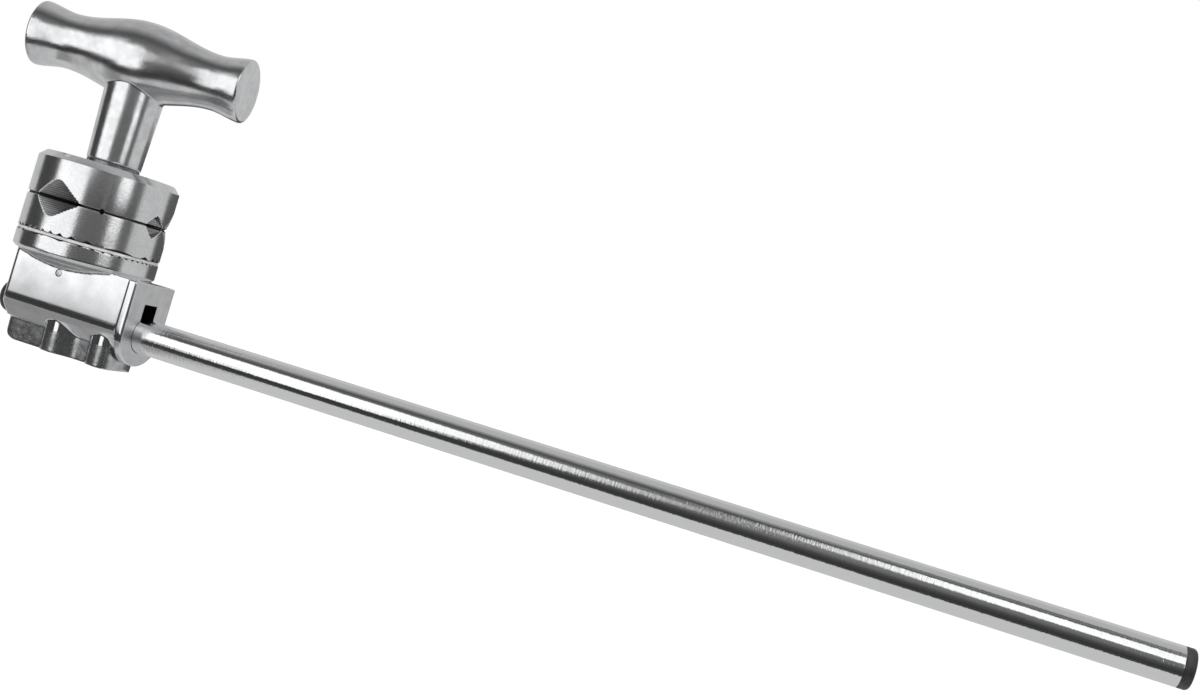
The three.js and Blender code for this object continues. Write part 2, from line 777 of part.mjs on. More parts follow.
const gripArm = new THREE.Group();
gripArm.add(
  baseCasting(),
  armRod(),
  endCap('free_end_cap', rodReach, 1),
  endCap('head_end_cap', -rodTail, -1),
  clampBolt(),
  boltPin(),
  rodPin(),
  frictionRing(),
  lowerJaw(),
  ...jawDowels(),
  jawSpring(),
  upperJaw(),
  lowerRace(),
  needleCage(),
  upperRace(),
  handleInsert(),
  tHandle(),
);

export default gripArm;
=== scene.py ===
# Looks of the grip arm: a chromed rod with a clamping head on one end.
# Lengths in the piece dictionaries are in millimetres, in the part's own frame.

from math import atan2, cos, pi, radians, sin, sqrt, tan

import bpy
from mathutils import Euler, Matrix, Vector


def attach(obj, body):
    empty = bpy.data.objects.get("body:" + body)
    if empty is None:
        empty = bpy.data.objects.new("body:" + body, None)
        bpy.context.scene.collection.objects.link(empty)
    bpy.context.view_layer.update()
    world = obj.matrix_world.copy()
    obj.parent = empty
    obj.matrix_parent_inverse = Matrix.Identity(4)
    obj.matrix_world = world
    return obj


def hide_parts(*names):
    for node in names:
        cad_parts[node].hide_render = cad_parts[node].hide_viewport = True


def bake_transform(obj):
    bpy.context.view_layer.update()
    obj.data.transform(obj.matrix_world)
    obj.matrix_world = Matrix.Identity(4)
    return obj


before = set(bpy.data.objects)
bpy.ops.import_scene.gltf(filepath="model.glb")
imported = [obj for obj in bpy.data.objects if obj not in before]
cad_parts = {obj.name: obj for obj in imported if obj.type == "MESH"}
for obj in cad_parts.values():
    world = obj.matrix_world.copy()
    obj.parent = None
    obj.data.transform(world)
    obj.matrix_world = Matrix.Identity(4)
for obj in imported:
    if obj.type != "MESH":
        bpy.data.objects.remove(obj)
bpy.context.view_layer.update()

mm = 0.001
turn = 2 * pi
clear = 2  # how far most cutters reach past the face that they open
onAxis = 1e-6  # a radius below this counts as a point on the axis


# mesh helpers

def shares(count):
    return [k / count for k in range(count + 1)]


def pieceFrom(name, points, faces):
    mesh = bpy.data.meshes.new(name)
    mesh.from_pydata([[value * mm for value in point] for point in points], [], faces)
    mesh.validate()
    piece = bpy.data.objects.new(name, mesh)
    bpy.context.scene.collection.objects.link(piece)
    return piece


def softened(corners, steps=6):
    # each corner is across, up and an optional rounding, which becomes an arc
    points = []
    for i, corner in enumerate(corners):
        here = Vector(corner[:2])
        rounding = corner[2] if len(corner) > 2 else 0
        if rounding == 0:
            points.append(tuple(here))
            continue
        before = (Vector(corners[i - 1][:2]) - here).normalized()
        after = (Vector(corners[(i + 1) % len(corners)][:2]) - here).normalized()
        half = before.angle(after) / 2
        middle = here + (before + after).normalized() * rounding / sin(half)
        first = here + before * rounding / tan(half) - middle
        last = here + after * rounding / tan(half) - middle
        sweep = atan2(first.cross(last), first.dot(last))
        for step in range(steps + 1):
            points.append(tuple(middle + Matrix.Rotation(sweep * step / steps, 2) @ first))
    return points


def turned(name, profile, segments, closed=False):
    # a profile of radius and height, turned round the z axis
    points, rings, faces = [], [], []
    for radius, height in profile:
        if radius < onAxis:
            rings.append([len(points)] * segments)
            points.append((0, 0, height))
        else:
            rings.append(list(range(len(points), len(points) + segments)))
            points += [(radius * cos(turn * k / segments), radius * sin(turn * k / segments), height)
                       for k in range(segments)]
    for low, high in list(zip(rings, rings[1:])) + ([(rings[-1], rings[0])] if closed else []):
        for k in range(segments):
            after = (k + 1) % segments
            face = list(dict.fromkeys([low[k], low[after], high[after], high[k]]))
            if len(face) > 2:
                faces.append(face)
    return pieceFrom(name, points, faces)


def drawnOut(name, outline, start, end, axis="z"):
    # a flat outline drawn out along z (x, y points) or along x (y, z points)
    count = len(outline)
    if sum(a[0] * b[1] - b[0] * a[1] for a, b in zip(outline, outline[1:] + outline[:1])) < 0:
        outline = outline[::-1]
    points = [(a, b, level) for level in (start, end) for a, b in outline]
    if axis == "x":
        points = [(level, a, b) for a, b, level in points]
    sides = [[i, (i + 1) % count, count + (i + 1) % count, count + i] for i in range(count)]
    return pieceFrom(name, points, [list(reversed(range(count))), list(range(count, 2 * count))] + sides)


def block(name, low, high):
    return drawnOut(name, [(low[0], low[1]), (high[0], low[1]), (high[0], high[1]), (low[0], high[1])],
                    low[2], high[2])


def moved(piece, matrix):
    # the move goes into the mesh, so that the object stays at the origin
    matrix = matrix.copy()
    matrix.translation *= mm
    piece.data.transform(matrix)
    return piece


def alongX(piece):
    return moved(piece, Matrix.Rotation(pi / 2, 4, "Y"))


def settle(piece):
    # the modifiers' result becomes the mesh
    graph = bpy.context.evaluated_depsgraph_get()
    mesh = bpy.data.meshes.new_from_object(piece.evaluated_get(graph))
    old = piece.data
    piece.modifiers.clear()
    piece.data = mesh
    bpy.data.meshes.remove(old)
    return piece


def combine(piece, others, operation):
    for other in others:
        step = piece.modifiers.new(operation.lower(), "BOOLEAN")
        step.operation = operation
        step.solver = "MANIFOLD"
        step.object = other
    settle(piece)
    for other in others:
        bpy.data.objects.remove(other)
    return piece


def cut(piece, *cutters):
    return combine(piece, cutters, "DIFFERENCE")


def joined(piece, *others):
    return combine(piece, others, "UNION")


def common(piece, *others):
    return combine(piece, others, "INTERSECT")


def roundHole(radius, low, high, x=0, y=0, segments=64):
    hole = turned("hole", [(0, low), (radius, low), (radius, high), (0, high)], segments)
    return moved(hole, Matrix.Translation((x, y, 0)))


def castSkin(piece, voxel, passes):
    # one skin over the joined forms, with every corner softened as a casting's is
    remesh = piece.modifiers.new("skin", "REMESH")
    remesh.mode = "VOXEL"
    remesh.voxel_size = voxel * mm
    smooth = piece.modifiers.new("soften", "SMOOTH")
    smooth.factor = 0.5
    smooth.iterations = passes
    return settle(piece)


def smoothed(piece, sharpDegrees=30):
    mesh = piece.data
    mesh.polygons.foreach_set("use_smooth", [True] * len(mesh.polygons))
    mesh.set_sharp_from_angle(angle=radians(sharpDegrees))
    return piece


def dress(piece, names, chooseFinish):
    # each face gets the finish that the piece's own rule names
    piece.data.materials.clear()
    for name in names:
        piece.data.materials.append(finishes[name])
    for face in piece.data.polygons:
        face.material_index = names.index(chooseFinish(face.center / mm, face.normal))


def fit(piece, body, finish, slot, *nodes):
    # the piece takes its finish, its body and its node's place
    smoothed(piece)
    piece.data.materials.clear()
    piece.data.materials.append(finishes[finish])
    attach(piece, body)
    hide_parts(*nodes)
    return piece


# finishes

class Wire:
    # a node's output that can be used in plain sums
    def __init__(self, graph, socket):
        self.graph = graph
        self.socket = socket

    def maths(self, operation, *values):
        return self.graph.node("Math", {"operation": operation}, dict(enumerate(values)))

    def __add__(self, other):
        return self.maths("ADD", self, other)

    def __radd__(self, other):
        return self.maths("ADD", other, self)

    def __sub__(self, other):
        return self.maths("SUBTRACT", self, other)

    def __rsub__(self, other):
        return self.maths("SUBTRACT", other, self)

    def __mul__(self, other):
        return self.maths("MULTIPLY", self, other)

    def __rmul__(self, other):
        return self.maths("MULTIPLY", other, self)

    def __truediv__(self, other):
        return self.maths("DIVIDE", self, other)

    def __pow__(self, other):
        return self.maths("POWER", self, other)


class Graph:
    # a node tree, and the one way to add a node to it
    def __init__(self, tree):
        self.tree = tree

    def node(self, kind, settings, inputs, output=0):
        node = self.tree.nodes.new("ShaderNode" + kind)
        for key, value in settings.items():
            if key == "stops":
                stops = node.color_ramp.elements
                stops.remove(stops[1])
                stops[0].position, stops[0].color = value[0][0], (*[value[0][1]] * 3, 1)
                for place, level in value[1:]:
                    stops.new(place).color = (level, level, level, 1)
            else:
                setattr(node, key, value)
        for key, value in inputs.items():
            if isinstance(value, Wire):
                self.tree.links.new(value.socket, node.inputs[key])
            else:
                node.inputs[key].default_value = value
        return Wire(self, node.outputs[output]) if node.outputs else None


class Finish(Graph):
    # one material and the nodes that are added to it
    def __init__(self, name, constants):
        self.material = bpy.data.materials.new(name)
        self.material.use_nodes = True
        super().__init__(self.material.node_tree)
        self.shader = self.tree.nodes["Principled BSDF"]
        for socket, value in constants.items():
            self.shader.inputs[socket].default_value = value

    def feed(self, socket, wire):
        self.tree.links.new(wire.socket, self.shader.inputs[socket])

    def place(self):
        # the point on the piece, in millimetres
        spot = self.node("TexCoord", {}, {}, "Object")
        return self.node("VectorMath", {"operation": "SCALE"}, {0: spot, "Scale": 1 / mm})

    def part(self, spot, axis):
        return self.node("SeparateXYZ", {}, {0: spot}, axis)

    def stretched(self, spot, across):
        return self.node("VectorMath", {"operation": "MULTIPLY"}, {0: spot, 1: across})

    def noise(self, spot, scale, detail=3.0, rough=0.55):
        return self.node("TexNoise", {}, {"Vector": spot, "Scale": scale, "Detail": detail,
                                          "Roughness": rough})

    def lines(self, along, scale, detail=2.0):
        # noise along one number only, which draws lines across it
        return self.node("TexNoise", {"noise_dimensions": "1D"},
                         {"W": along, "Scale": scale, "Detail": detail})

    def ramp(self, value, *stops):
        # each stop is a place on the ramp and its level
        return self.node("ValToRGB", {"stops": stops}, {0: value})

    def blendColours(self, share, first, second):
        settings = {"data_type": "RGBA", "clamp_factor": True}
        return self.node("Mix", settings, {0: share, 6: (*first, 1), 7: (*second, 1)}, 2)

    def bump(self, height, depth, under=None):
        inputs = {"Height": height, "Distance": depth * mm, "Strength": 1.0}
        if under is not None:
            inputs["Normal"] = under
        return self.node("Bump", {}, inputs)


noiseMiddle = 0.5  # the level that a noise swings about
casting = {
    "cloudStops": ((0.35, 0.0), (0.7, 1.0)), "cloudShade": 0.6, "pitShade": 0.4, "pitRoughness": 0.1,
    "grainRelief": 0.6, "scratchRelief": 0.4, "pitRelief": 0.8,
}


def castingFinish(name, look):
    # cast aluminium, polished by hand on a soft wheel
    finish = Finish(name, {"Metallic": 1.0})
    spot = finish.place()
    cloud = finish.noise(spot, look["cloudScale"], detail=4.0)
    grain = finish.noise(spot, look["grainScale"], rough=0.65)
    scratch = finish.noise(finish.stretched(spot, look["scratchStretch"]), 1.0, detail=2.0)
    wave = finish.noise(spot, look["waveScale"], detail=1.0, rough=0.4)
    pits = finish.ramp(finish.noise(spot, look["pitScale"], detail=2.0),
                       (0.0, 1.0), (look["pitShare"], 0.0), (1.0, 0.0))
    dull = finish.ramp(cloud, *casting["cloudStops"])
    dark = dull * casting["cloudShade"] + pits * casting["pitShade"]
    finish.feed("Base Color", finish.blendColours(dark, look["bright"], look["dull"]))
    rough = look["roughness"] + dull * look["cloudRoughness"] + (grain - noiseMiddle) * look["grainRoughness"]
    finish.feed("Roughness", rough + pits * casting["pitRoughness"])
    relief = grain * casting["grainRelief"] + scratch * casting["scratchRelief"] - pits * casting["pitRelief"]
    finish.feed("Normal", finish.bump(relief, look["grainDepth"], finish.bump(wave, look["waveDepth"])))
    return finish.material


def turnedFinish(name, look):
    # aluminium off the lathe: fine rings on the flats and round the rim
    finish = Finish(name, {"Metallic": 1.0})
    spot = finish.place()
    x, y, z = [finish.part(spot, axis) for axis in "XYZ"]
    along = (x * x + y * y) ** 0.5 + z * look["ringSlant"]
    coarse = finish.lines(along, look["ringScale"], detail=1.0)
    fine = finish.lines(along, look["ringScale"] * look["fineRings"])
    cloud = finish.noise(spot, look["cloudScale"], detail=4.0)
    smear = finish.noise(finish.stretched(spot, look["smearStretch"]), 1.0, rough=0.6)
    grain = finish.noise(spot, look["grainScale"], rough=0.65)
    dull = finish.ramp(cloud, *look["cloudStops"])
    dark = dull * look["cloudShade"] + (smear - noiseMiddle) * look["smearShade"]
    dark = dark + (grain - look["grainLevel"]) * look["grainShade"]
    finish.feed("Base Color", finish.blendColours(dark, look["bright"], look["dull"]))
    rough = look["roughness"] + dull * look["cloudRoughness"] + (fine - noiseMiddle) * look["ringRoughness"]
    finish.feed("Roughness", rough + (smear - noiseMiddle) * look["smearRoughness"])
    relief = coarse * look["coarseRelief"] + fine * look["fineRelief"] + smear * look["smearRelief"]
    finish.feed("Normal", finish.bump(grain, look["grainDepth"], finish.bump(relief, look["ringDepth"])))
    return finish.material


def chromeFinish(name, look):
    # bright plate over ground tube: the grinding still shows as faint lines round the rod
    finish = Finish(name, {"Metallic": 1.0})
    spot = finish.place()
    grind = finish.noise(finish.stretched(spot, look["grindStretch"]), 1.0, rough=0.6)
    broad = finish.noise(finish.stretched(spot, look["broadStretch"]), 1.0, detail=2.0, rough=0.5)
    cloud = finish.noise(spot, look["cloudScale"], detail=4.0)
    specks = finish.ramp(finish.noise(spot, look["speckScale"], detail=2.0, rough=0.7),
                         (0.0, 1.0), (look["speckShare"], 1.0),
                         (look["speckShare"] + look["speckEdge"], 0.0), (1.0, 0.0))
    finish.feed("Base Color", finish.blendColours(specks, look["bright"], look["speck"]))
    rough = look["roughness"] + (grind - noiseMiddle) * look["grindRoughness"]
    finish.feed("Roughness", rough + cloud * look["cloudRoughness"] + specks * look["speckRoughness"])
    low = finish.bump(broad, look["broadDepth"])
    finish.feed("Normal", finish.bump(grind - specks, look["grindDepth"], low))
    return finish.material


# start and step are the height of a ridge's crest and the ridges' pitch up the flank, where the painted
# highlight and shade fall
milling = {
    "start": 49.1, "step": 0.919, "cloudScale": 0.2, "cloudStops": ((0.3, 0.0), (0.7, 1.0)),
    "grainScale": 3.0, "grainRoughness": 0.2,
}


def channelFinish(name, look):
    # milled flanks: painted highlight on the ridges' crests and painted shade in their valleys
    finish = Finish(name, {"Metallic": look["metallic"]})
    spot = finish.place()
    cloud = finish.noise(spot, milling["cloudScale"], detail=4.0)
    grain = finish.noise(spot, milling["grainScale"], rough=0.6)
    climb = (finish.part(spot, "Z") - milling["start"]) / milling["step"]
    paintedRidgeShade = finish.node("Math", {"operation": "PINGPONG"}, {0: climb, 1: 0.5}) * 2
    dull = finish.ramp(cloud, *milling["cloudStops"])
    # ridges is the share of the painted ridge highlight and shade in the colour
    dark = dull * (1 - look["ridges"]) + paintedRidgeShade * look["ridges"]
    finish.feed("Base Color", finish.blendColours(dark, look["bright"], look["dull"]))
    finish.feed("Roughness", look["roughness"] + (grain - noiseMiddle) * milling["grainRoughness"])
    finish.feed("Normal", finish.bump(grain, look["grainDepth"]))
    return finish.material


steel = {
    "cloudScale": 0.5, "cloudStops": ((0.4, 0.0), (0.7, 1.0)), "grainScale": 5.0, "stainRoughness": 0.12,
    "grainRoughness": 0.1, "grainDepth": 0.01,
}


def steelFinish(name, look):
    # small plain steel pieces, with a little oil-darkening
    finish = Finish(name, {"Metallic": 1.0})
    spot = finish.place()
    cloud = finish.noise(spot, steel["cloudScale"], detail=4.0)
    grain = finish.noise(spot, steel["grainScale"], rough=0.6)
    stain = finish.ramp(cloud, *steel["cloudStops"])
    finish.feed("Base Color", finish.blendColours(stain, look["bright"], look["dull"]))
    rough = look["roughness"] + stain * steel["stainRoughness"]
    finish.feed("Roughness", rough + (grain - noiseMiddle) * steel["grainRoughness"])
    finish.feed("Normal", finish.bump(grain, steel["grainDepth"]))
    return finish.material


plastic = {
    "cloudScale": 0.3, "cloudStops": ((0.35, 0.0), (0.7, 1.0)), "cloudRoughness": 0.14, "grainRoughness": 0.1,
}


def plasticFinish(name, look):
    # moulded plastic, dulled in patches
    finish = Finish(name, {"Metallic": 0.0, "IOR": 1.46})
    spot = finish.place()
    cloud = finish.noise(spot, plastic["cloudScale"])
    grain = finish.noise(spot, look["grainScale"], rough=0.6)
    dull = finish.ramp(cloud, *plastic["cloudStops"])
    finish.feed("Base Color", finish.blendColours(dull, look["bright"], look["dull"]))
    rough = look["roughness"] + (cloud - noiseMiddle) * plastic["cloudRoughness"]
    finish.feed("Roughness", rough + (grain - noiseMiddle) * plastic["grainRoughness"])
    finish.feed("Normal", finish.bump(grain, look["grainDepth"]))
    return finish.material


looks = {
    "headCasting": {
        "bright": (0.87, 0.875, 0.885), "dull": (0.66, 0.665, 0.68), "roughness": 0.09,
        "cloudRoughness": 0.05, "grainRoughness": 0.1, "cloudScale": 0.11, "grainScale": 2.2,
        "waveScale": 0.09, "pitScale": 1.6, "pitShare": 0.27, "scratchStretch": (0.5, 3.0, 3.0),
        "waveDepth": 0.035, "grainDepth": 0.006,
    },
    # the keel: a rougher cast finish, with a darker colour as painted shade on the casting's underside
    "keelCasting": {
        "bright": (0.66, 0.665, 0.675), "dull": (0.34, 0.345, 0.36), "roughness": 0.2, "cloudRoughness": 0.12,
        "grainRoughness": 0.2, "cloudScale": 0.3, "grainScale": 1.6, "waveScale": 0.3, "pitScale": 1.3,
        "pitShare": 0.33, "scratchStretch": (0.6, 2.0, 2.0), "waveDepth": 0.12, "grainDepth": 0.02,
    },
    "handleCasting": {
        "bright": (0.84, 0.845, 0.855), "dull": (0.6, 0.605, 0.62), "roughness": 0.13, "cloudRoughness": 0.09,
        "grainRoughness": 0.18, "cloudScale": 0.16, "grainScale": 1.4, "waveScale": 0.12, "pitScale": 1.1,
        "pitShare": 0.34, "scratchStretch": (1.2, 3.0, 3.0), "waveDepth": 0.09, "grainDepth": 0.045,
    },
    "milledEnd": {
        "bright": (0.87, 0.875, 0.885), "dull": (0.68, 0.685, 0.695), "roughness": 0.4,
        "cloudRoughness": 0.08, "grainRoughness": 0.2, "cloudScale": 0.2, "grainScale": 3.5,
        "waveScale": 0.2, "pitScale": 2.5, "pitShare": 0.25, "scratchStretch": (1.0, 0.6, 6.0),
        "waveDepth": 0.02, "grainDepth": 0.02,
    },
    "turnedJaw": {
        "bright": (0.86, 0.865, 0.875), "dull": (0.6, 0.605, 0.615), "roughness": 0.15, "ringScale": 2.2,
        "ringSlant": 1.01, "fineRings": 5, "cloudScale": 0.09, "cloudStops": ((0.3, 0.0), (0.72, 1.0)),
        "smearStretch": (0.25, 0.25, 2.6), "grainScale": 1.1, "cloudShade": 0.4, "smearShade": 0.5,
        "grainLevel": 0.4, "grainShade": 0.9, "cloudRoughness": 0.06, "ringRoughness": 0.1,
        "smearRoughness": 0.12, "coarseRelief": 0.6, "fineRelief": 0.4, "smearRelief": 0.3,
        "ringDepth": 0.004, "grainDepth": 0.025,
    },
    # in the channel looks, ridges is the share of the painted ridge highlight and shade in the colour
    "milledChannel": {"bright": (0.72, 0.725, 0.735), "dull": (0.16, 0.16, 0.165), "roughness": 0.34,
                      "metallic": 0.7, "ridges": 0.8, "grainDepth": 0.015},
    "brokenEdge": {"bright": (0.8, 0.8, 0.81), "dull": (0.6, 0.605, 0.615), "roughness": 0.5,
                   "metallic": 0.5, "ridges": 0.1, "grainDepth": 0.01},
    # painted shade: near-black for the gaps and grooves where shade falls, on the jaws and on the disc
    "darkGap": {"bright": (0.02, 0.02, 0.021), "dull": (0.01, 0.01, 0.01), "roughness": 0.7,
                "metallic": 0.3, "ridges": 0.1, "grainDepth": 0.02},
    "chrome": {
        "bright": (0.87, 0.875, 0.885), "speck": (0.2, 0.2, 0.2), "roughness": 0.05,
        "grindStretch": (1.2, 0.22, 0.22), "broadStretch": (0.5, 0.06, 0.06), "cloudScale": 0.03,
        "speckScale": 0.8, "speckShare": 0.2, "speckEdge": 0.03, "grindRoughness": 0.08,
        "cloudRoughness": 0.04, "speckRoughness": 0.25, "broadDepth": 0.012, "grindDepth": 0.1,
    },
    "zincSteel": {"bright": (0.68, 0.69, 0.71), "dull": (0.5, 0.51, 0.53), "roughness": 0.28},
    "pinSteel": {"bright": (0.74, 0.74, 0.76), "dull": (0.56, 0.56, 0.58), "roughness": 0.25},
    # the upper race: bearing steel painted dark, as shade under the handle's boss
    "oiledSteel": {"bright": (0.3, 0.3, 0.31), "dull": (0.14, 0.14, 0.145), "roughness": 0.3},
    "bearingSteel": {"bright": (0.72, 0.73, 0.75), "dull": (0.58, 0.59, 0.61), "roughness": 0.2},
    "paleRing": {"bright": (0.5, 0.5, 0.5), "dull": (0.38, 0.38, 0.38), "roughness": 0.5,
                 "grainScale": 1.5, "grainDepth": 0.03},
    "blackPlastic": {"bright": (0.014, 0.014, 0.015), "dull": (0.03, 0.03, 0.032), "roughness": 0.42,
                     "grainScale": 2.5, "grainDepth": 0.015},
}
makers = {
    castingFinish: ("headCasting", "handleCasting", "keelCasting", "milledEnd"),
    turnedFinish: ("turnedJaw",),
    channelFinish: ("milledChannel", "brokenEdge", "darkGap"),
    chromeFinish: ("chrome",),
    steelFinish: ("zincSteel", "pinSteel", "bearingSteel", "oiledSteel"),
    plasticFinish: ("paleRing", "blackPlastic"),
}
finishes = {name: maker(name, looks[name]) for maker, names in makers.items() for name in names}
print("finishes made")


# the levels that the pieces share, from the rod's axis up

clamp = {
    "split": 49.1, "jawRadius": 31.75, "jawGap": 1.1, "upperHeight": 19.95, "lowerHeight": 14.95,
    "faceGap": 0.1, "fixedGap": 0.2, "runningGap": 0.3, "ringThickness": 1.4, "jawTurn": radians(-31),
    "landGap": 0.04, "landInset": 0.7, "overcut": 0.05, "overrun": 1,
    "discGroove": {"pitch": 3.08, "shift": -0.2, "width": 1.75, "depth": 0.88},
    "jawGroove": {"pitch": 3.6, "shift": -0.3, "width": 2.6, "depth": 1.35},
}
upperBottom = clamp["split"] + clamp["jawGap"] / 2
upperTop = upperBottom + clamp["upperHeight"]
lowerTop = clamp["split"] - clamp["jawGap"] / 2
lowerBottom = lowerTop - clamp["lowerHeight"]
ringTop = lowerBottom - clamp["faceGap"]
discTop = ringTop - clamp["ringThickness"]
boltRadius = 4.7625


def grooveCutter(name, groove, level, rise):
    # straight V grooves side by side along x; rise is 1 where they are cut upwards and -1 downwards
    reach = clamp["jawRadius"] + clamp["overrun"]
    count = int(reach / groove["pitch"]) + 1
    start, lead = level - rise * clamp["overcut"], 1 + clamp["overcut"] / groove["depth"]
    outline = []
    for k in range(-count, count + 1):
        y = k * groove["pitch"] + groove["shift"]
        half = groove["width"] / 2 * lead
        outline += [(y - half, start), (y, level + rise * groove["depth"]), (y + half, start)]
    far = level - rise * clear
    return drawnOut(name, [(outline[0][0], far)] + outline + [(outline[-1][0], far)], -reach, reach, "x")


# jaws

channels = [
    {"width": 19.7, "root": 3.7, "offset": 14.9, "cross": False},
    {"width": 14.2, "root": 2.2, "offset": -16, "cross": False},
    {"width": 11.4, "root": 0.7, "offset": 14.4, "cross": True},
    {"width": 3, "root": 0.2, "offset": -11.9, "cross": True},
]
ridges = {"pitch": 1.3, "depth": 0.36}
jaws = {
    "segments": 360, "chamfer": 3, "edge": 0.12, "bore": 5.0625, "bearingSeat": 12.3, "bearingDepth": 3.1,
    "springSeat": 6.4625, "springDepth": 6.2, "dowels": [(-2, 25.2), (-2, -25.6)], "dowelRadius": 2,
    "dowelSeat": 9.5, "dowelLength": 21, "dowelRoom": 1.1, "dowelEdges": (0.4, 0.8), "mouthEdge": 0.22,
    "chamferEdge": 0.3, "lowEdge": 0.15, "rimRings": (1.7, 1), "cutterReach": 36, "cutterTop": 100,
}
# what tells a jaw's cut faces apart, as lengths from the named faces and as parts of a face's normal
jawFaces = {
    "slack": 0.03, "gapSlack": 0.02, "landSlack": 0.1, "upright": 0.05, "deepest": 10.5, "notch": 2,
    "notchTurn": 0.1, "grooves": (0.05, 1.4), "grooveSlope": 0.2,
}


def ridgedWall(half, tangent):
    # from the edge on the split plane to the root: crests on the wall's plane, valleys cut into it
    pitch, depth = ridges["pitch"] * sqrt(0.5), ridges["depth"] * sqrt(0.5)
    count = int((half - tangent) / pitch - 1)
    points = []
    for k in range(1, count + 1):
        points.append((half - k * pitch, k * pitch))
        middle = (k + 0.5) * pitch
        points.append((half - middle + depth, middle + depth))
    return points + [(half - (count + 1) * pitch, (count + 1) * pitch)] if count > 0 else []


def channelOutline(width, root, grow=0):
    # both halves of a channel, with the split plane at height 0; grow makes it wider all round
    half, tangent = width / 2 + grow * sqrt(2), root * sqrt(0.5)
    quarter = [(half, 0)] + ridgedWall(half, tangent)
    quarter += [(root * sin(a), half - 2 * tangent + root * cos(a))
                for a in [pi / 4 * (1 - share) for share in shares(6)]]
    upper = quarter + [(-a, b) for a, b in reversed(quarter[:-1])]
    return upper + [(a, -b) for a, b in reversed(upper[1:-1])]


def channelCutter(name, channel, grow=0):
    outline = channelOutline(channel["width"], channel["root"], grow)
    placed = [(a + channel["offset"], b + clamp["split"]) for a, b in outline]
    cutter = drawnOut(name, placed, -jaws["cutterReach"], jaws["cutterReach"], "x")
    return moved(cutter, Matrix.Rotation(0 if channel["cross"] else -pi / 2, 4, "Z"))


def mouthCutter(name, channel):
    # breaks the edge where the channel leaves the rim
    cutter = channelCutter(name, channel, jaws["mouthEdge"])
    return cut(cutter, roundHole(clamp["jawRadius"] - jaws["mouthEdge"], 0, jaws["cutterTop"], segments=180))


def jawCutters():
    notch = channels[-1]
    mouths = [mouthCutter("mouth", channel) for channel in channels if channel is not notch]
    return mouths + [channelCutter("channel", channel) for channel in channels]


def jawFinish(place, normal):
    # the turned faces, and the cut ones: channels and their mouths' broken edges; the gap between the jaws,
    # the notch and the grooves under the lower jaw get near-black painted shade
    x, y, z = place
    rim = clamp["jawRadius"] - jawFaces["slack"]
    away = sqrt(x * x + y * y)
    level = abs(z - clamp["split"])
    upright = abs(normal.z) < jawFaces["upright"]
    if level < clamp["landGap"] and not upright:
        return "turnedJaw"
    # painted shade in the grooves under the lower jaw
    if (lowerBottom + jawFaces["grooves"][0] < z < lowerBottom + jawFaces["grooves"][1]
            and abs(normal.z) > jawFaces["grooveSlope"]):
        return "darkGap"
    # painted shade in the notch
    if (away < rim and level < jawFaces["notch"] and abs(y - channels[-1]["offset"]) < jawFaces["notch"]
            and abs(normal.x) < jawFaces["notchTurn"]):
        return "darkGap"
    if away > rim or level > jawFaces["deepest"]:
        return "turnedJaw"
    inLand = away <= clamp["jawRadius"] - clamp["landInset"] - jawFaces["landSlack"]
    # painted shade on the faces in the gap between the jaws, outside the lands
    if level < clamp["jawGap"] / 2 + jawFaces["gapSlack"] and not (upright and inLand):
        return "darkGap"
    return "brokenEdge" if away > rim - jaws["mouthEdge"] else "milledChannel"


def finishJaw(piece, node):
    smoothed(piece, sharpDegrees=20)
    dress(piece, ["turnedJaw", "milledChannel", "brokenEdge", "darkGap"], jawFinish)
    moved(piece, Matrix.Rotation(clamp["jawTurn"], 4, "Z"))
    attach(piece, node)
    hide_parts(node)


# inside a narrow rim the flat faces stand nearly on the split plane, so that no light shows through
radius = clamp["jawRadius"]
land = radius - clamp["landInset"]
upperLand, lowerLand = clamp["split"] + clamp["landGap"] / 2, clamp["split"] - clamp["landGap"] / 2
dowelLow = lowerTop - jaws["dowelSeat"]
dowelTop = dowelLow + jaws["dowelLength"]
upperJaw = turned("upperJaw", softened([
    (0, upperLand), (land, upperLand), (land, upperBottom), (radius, upperBottom, jaws["edge"]),
    (radius, upperTop - jaws["chamfer"], jaws["chamferEdge"]),
    (radius - jaws["chamfer"], upperTop, jaws["chamferEdge"]), (0, upperTop)]), jaws["segments"])
cut(upperJaw, roundHole(jaws["bore"], upperBottom - clear, upperTop + clear),
    roundHole(jaws["bearingSeat"], upperTop - jaws["bearingDepth"], upperTop + clear),
    roundHole(jaws["springSeat"], upperBottom - clear, upperBottom + jaws["springDepth"]),
    *[roundHole(jaws["dowelRadius"] + clamp["runningGap"], upperBottom - clear,
                dowelTop + jaws["dowelRoom"], x, y) for x, y in jaws["dowels"]],
    *jawCutters())
finishJaw(upperJaw, "upper_jaw")

lowerJaw = turned("lowerJaw", softened([
    (0, lowerBottom), (radius, lowerBottom, jaws["lowEdge"]), (radius, lowerBottom + jaws["rimRings"][0]),
    (radius, lowerTop - jaws["rimRings"][1]), (radius, lowerTop, jaws["edge"]), (land, lowerTop),
    (land, lowerLand), (0, lowerLand)]), jaws["segments"])
jawGrooves = grooveCutter("grooves", clamp["jawGroove"], lowerBottom, 1)
moved(jawGrooves, Matrix.Rotation(-pi / 2, 4, "Z"))
cut(lowerJaw, roundHole(jaws["bore"], lowerBottom - clear, lowerTop + clear),
    roundHole(jaws["springSeat"], lowerTop - jaws["springDepth"], lowerTop + clear),
    *[roundHole(jaws["dowelRadius"] + clamp["fixedGap"], dowelLow, lowerTop + clear, x, y)
      for x, y in jaws["dowels"]],
    *jawCutters(), jawGrooves)
finishJaw(lowerJaw, "lower_jaw")

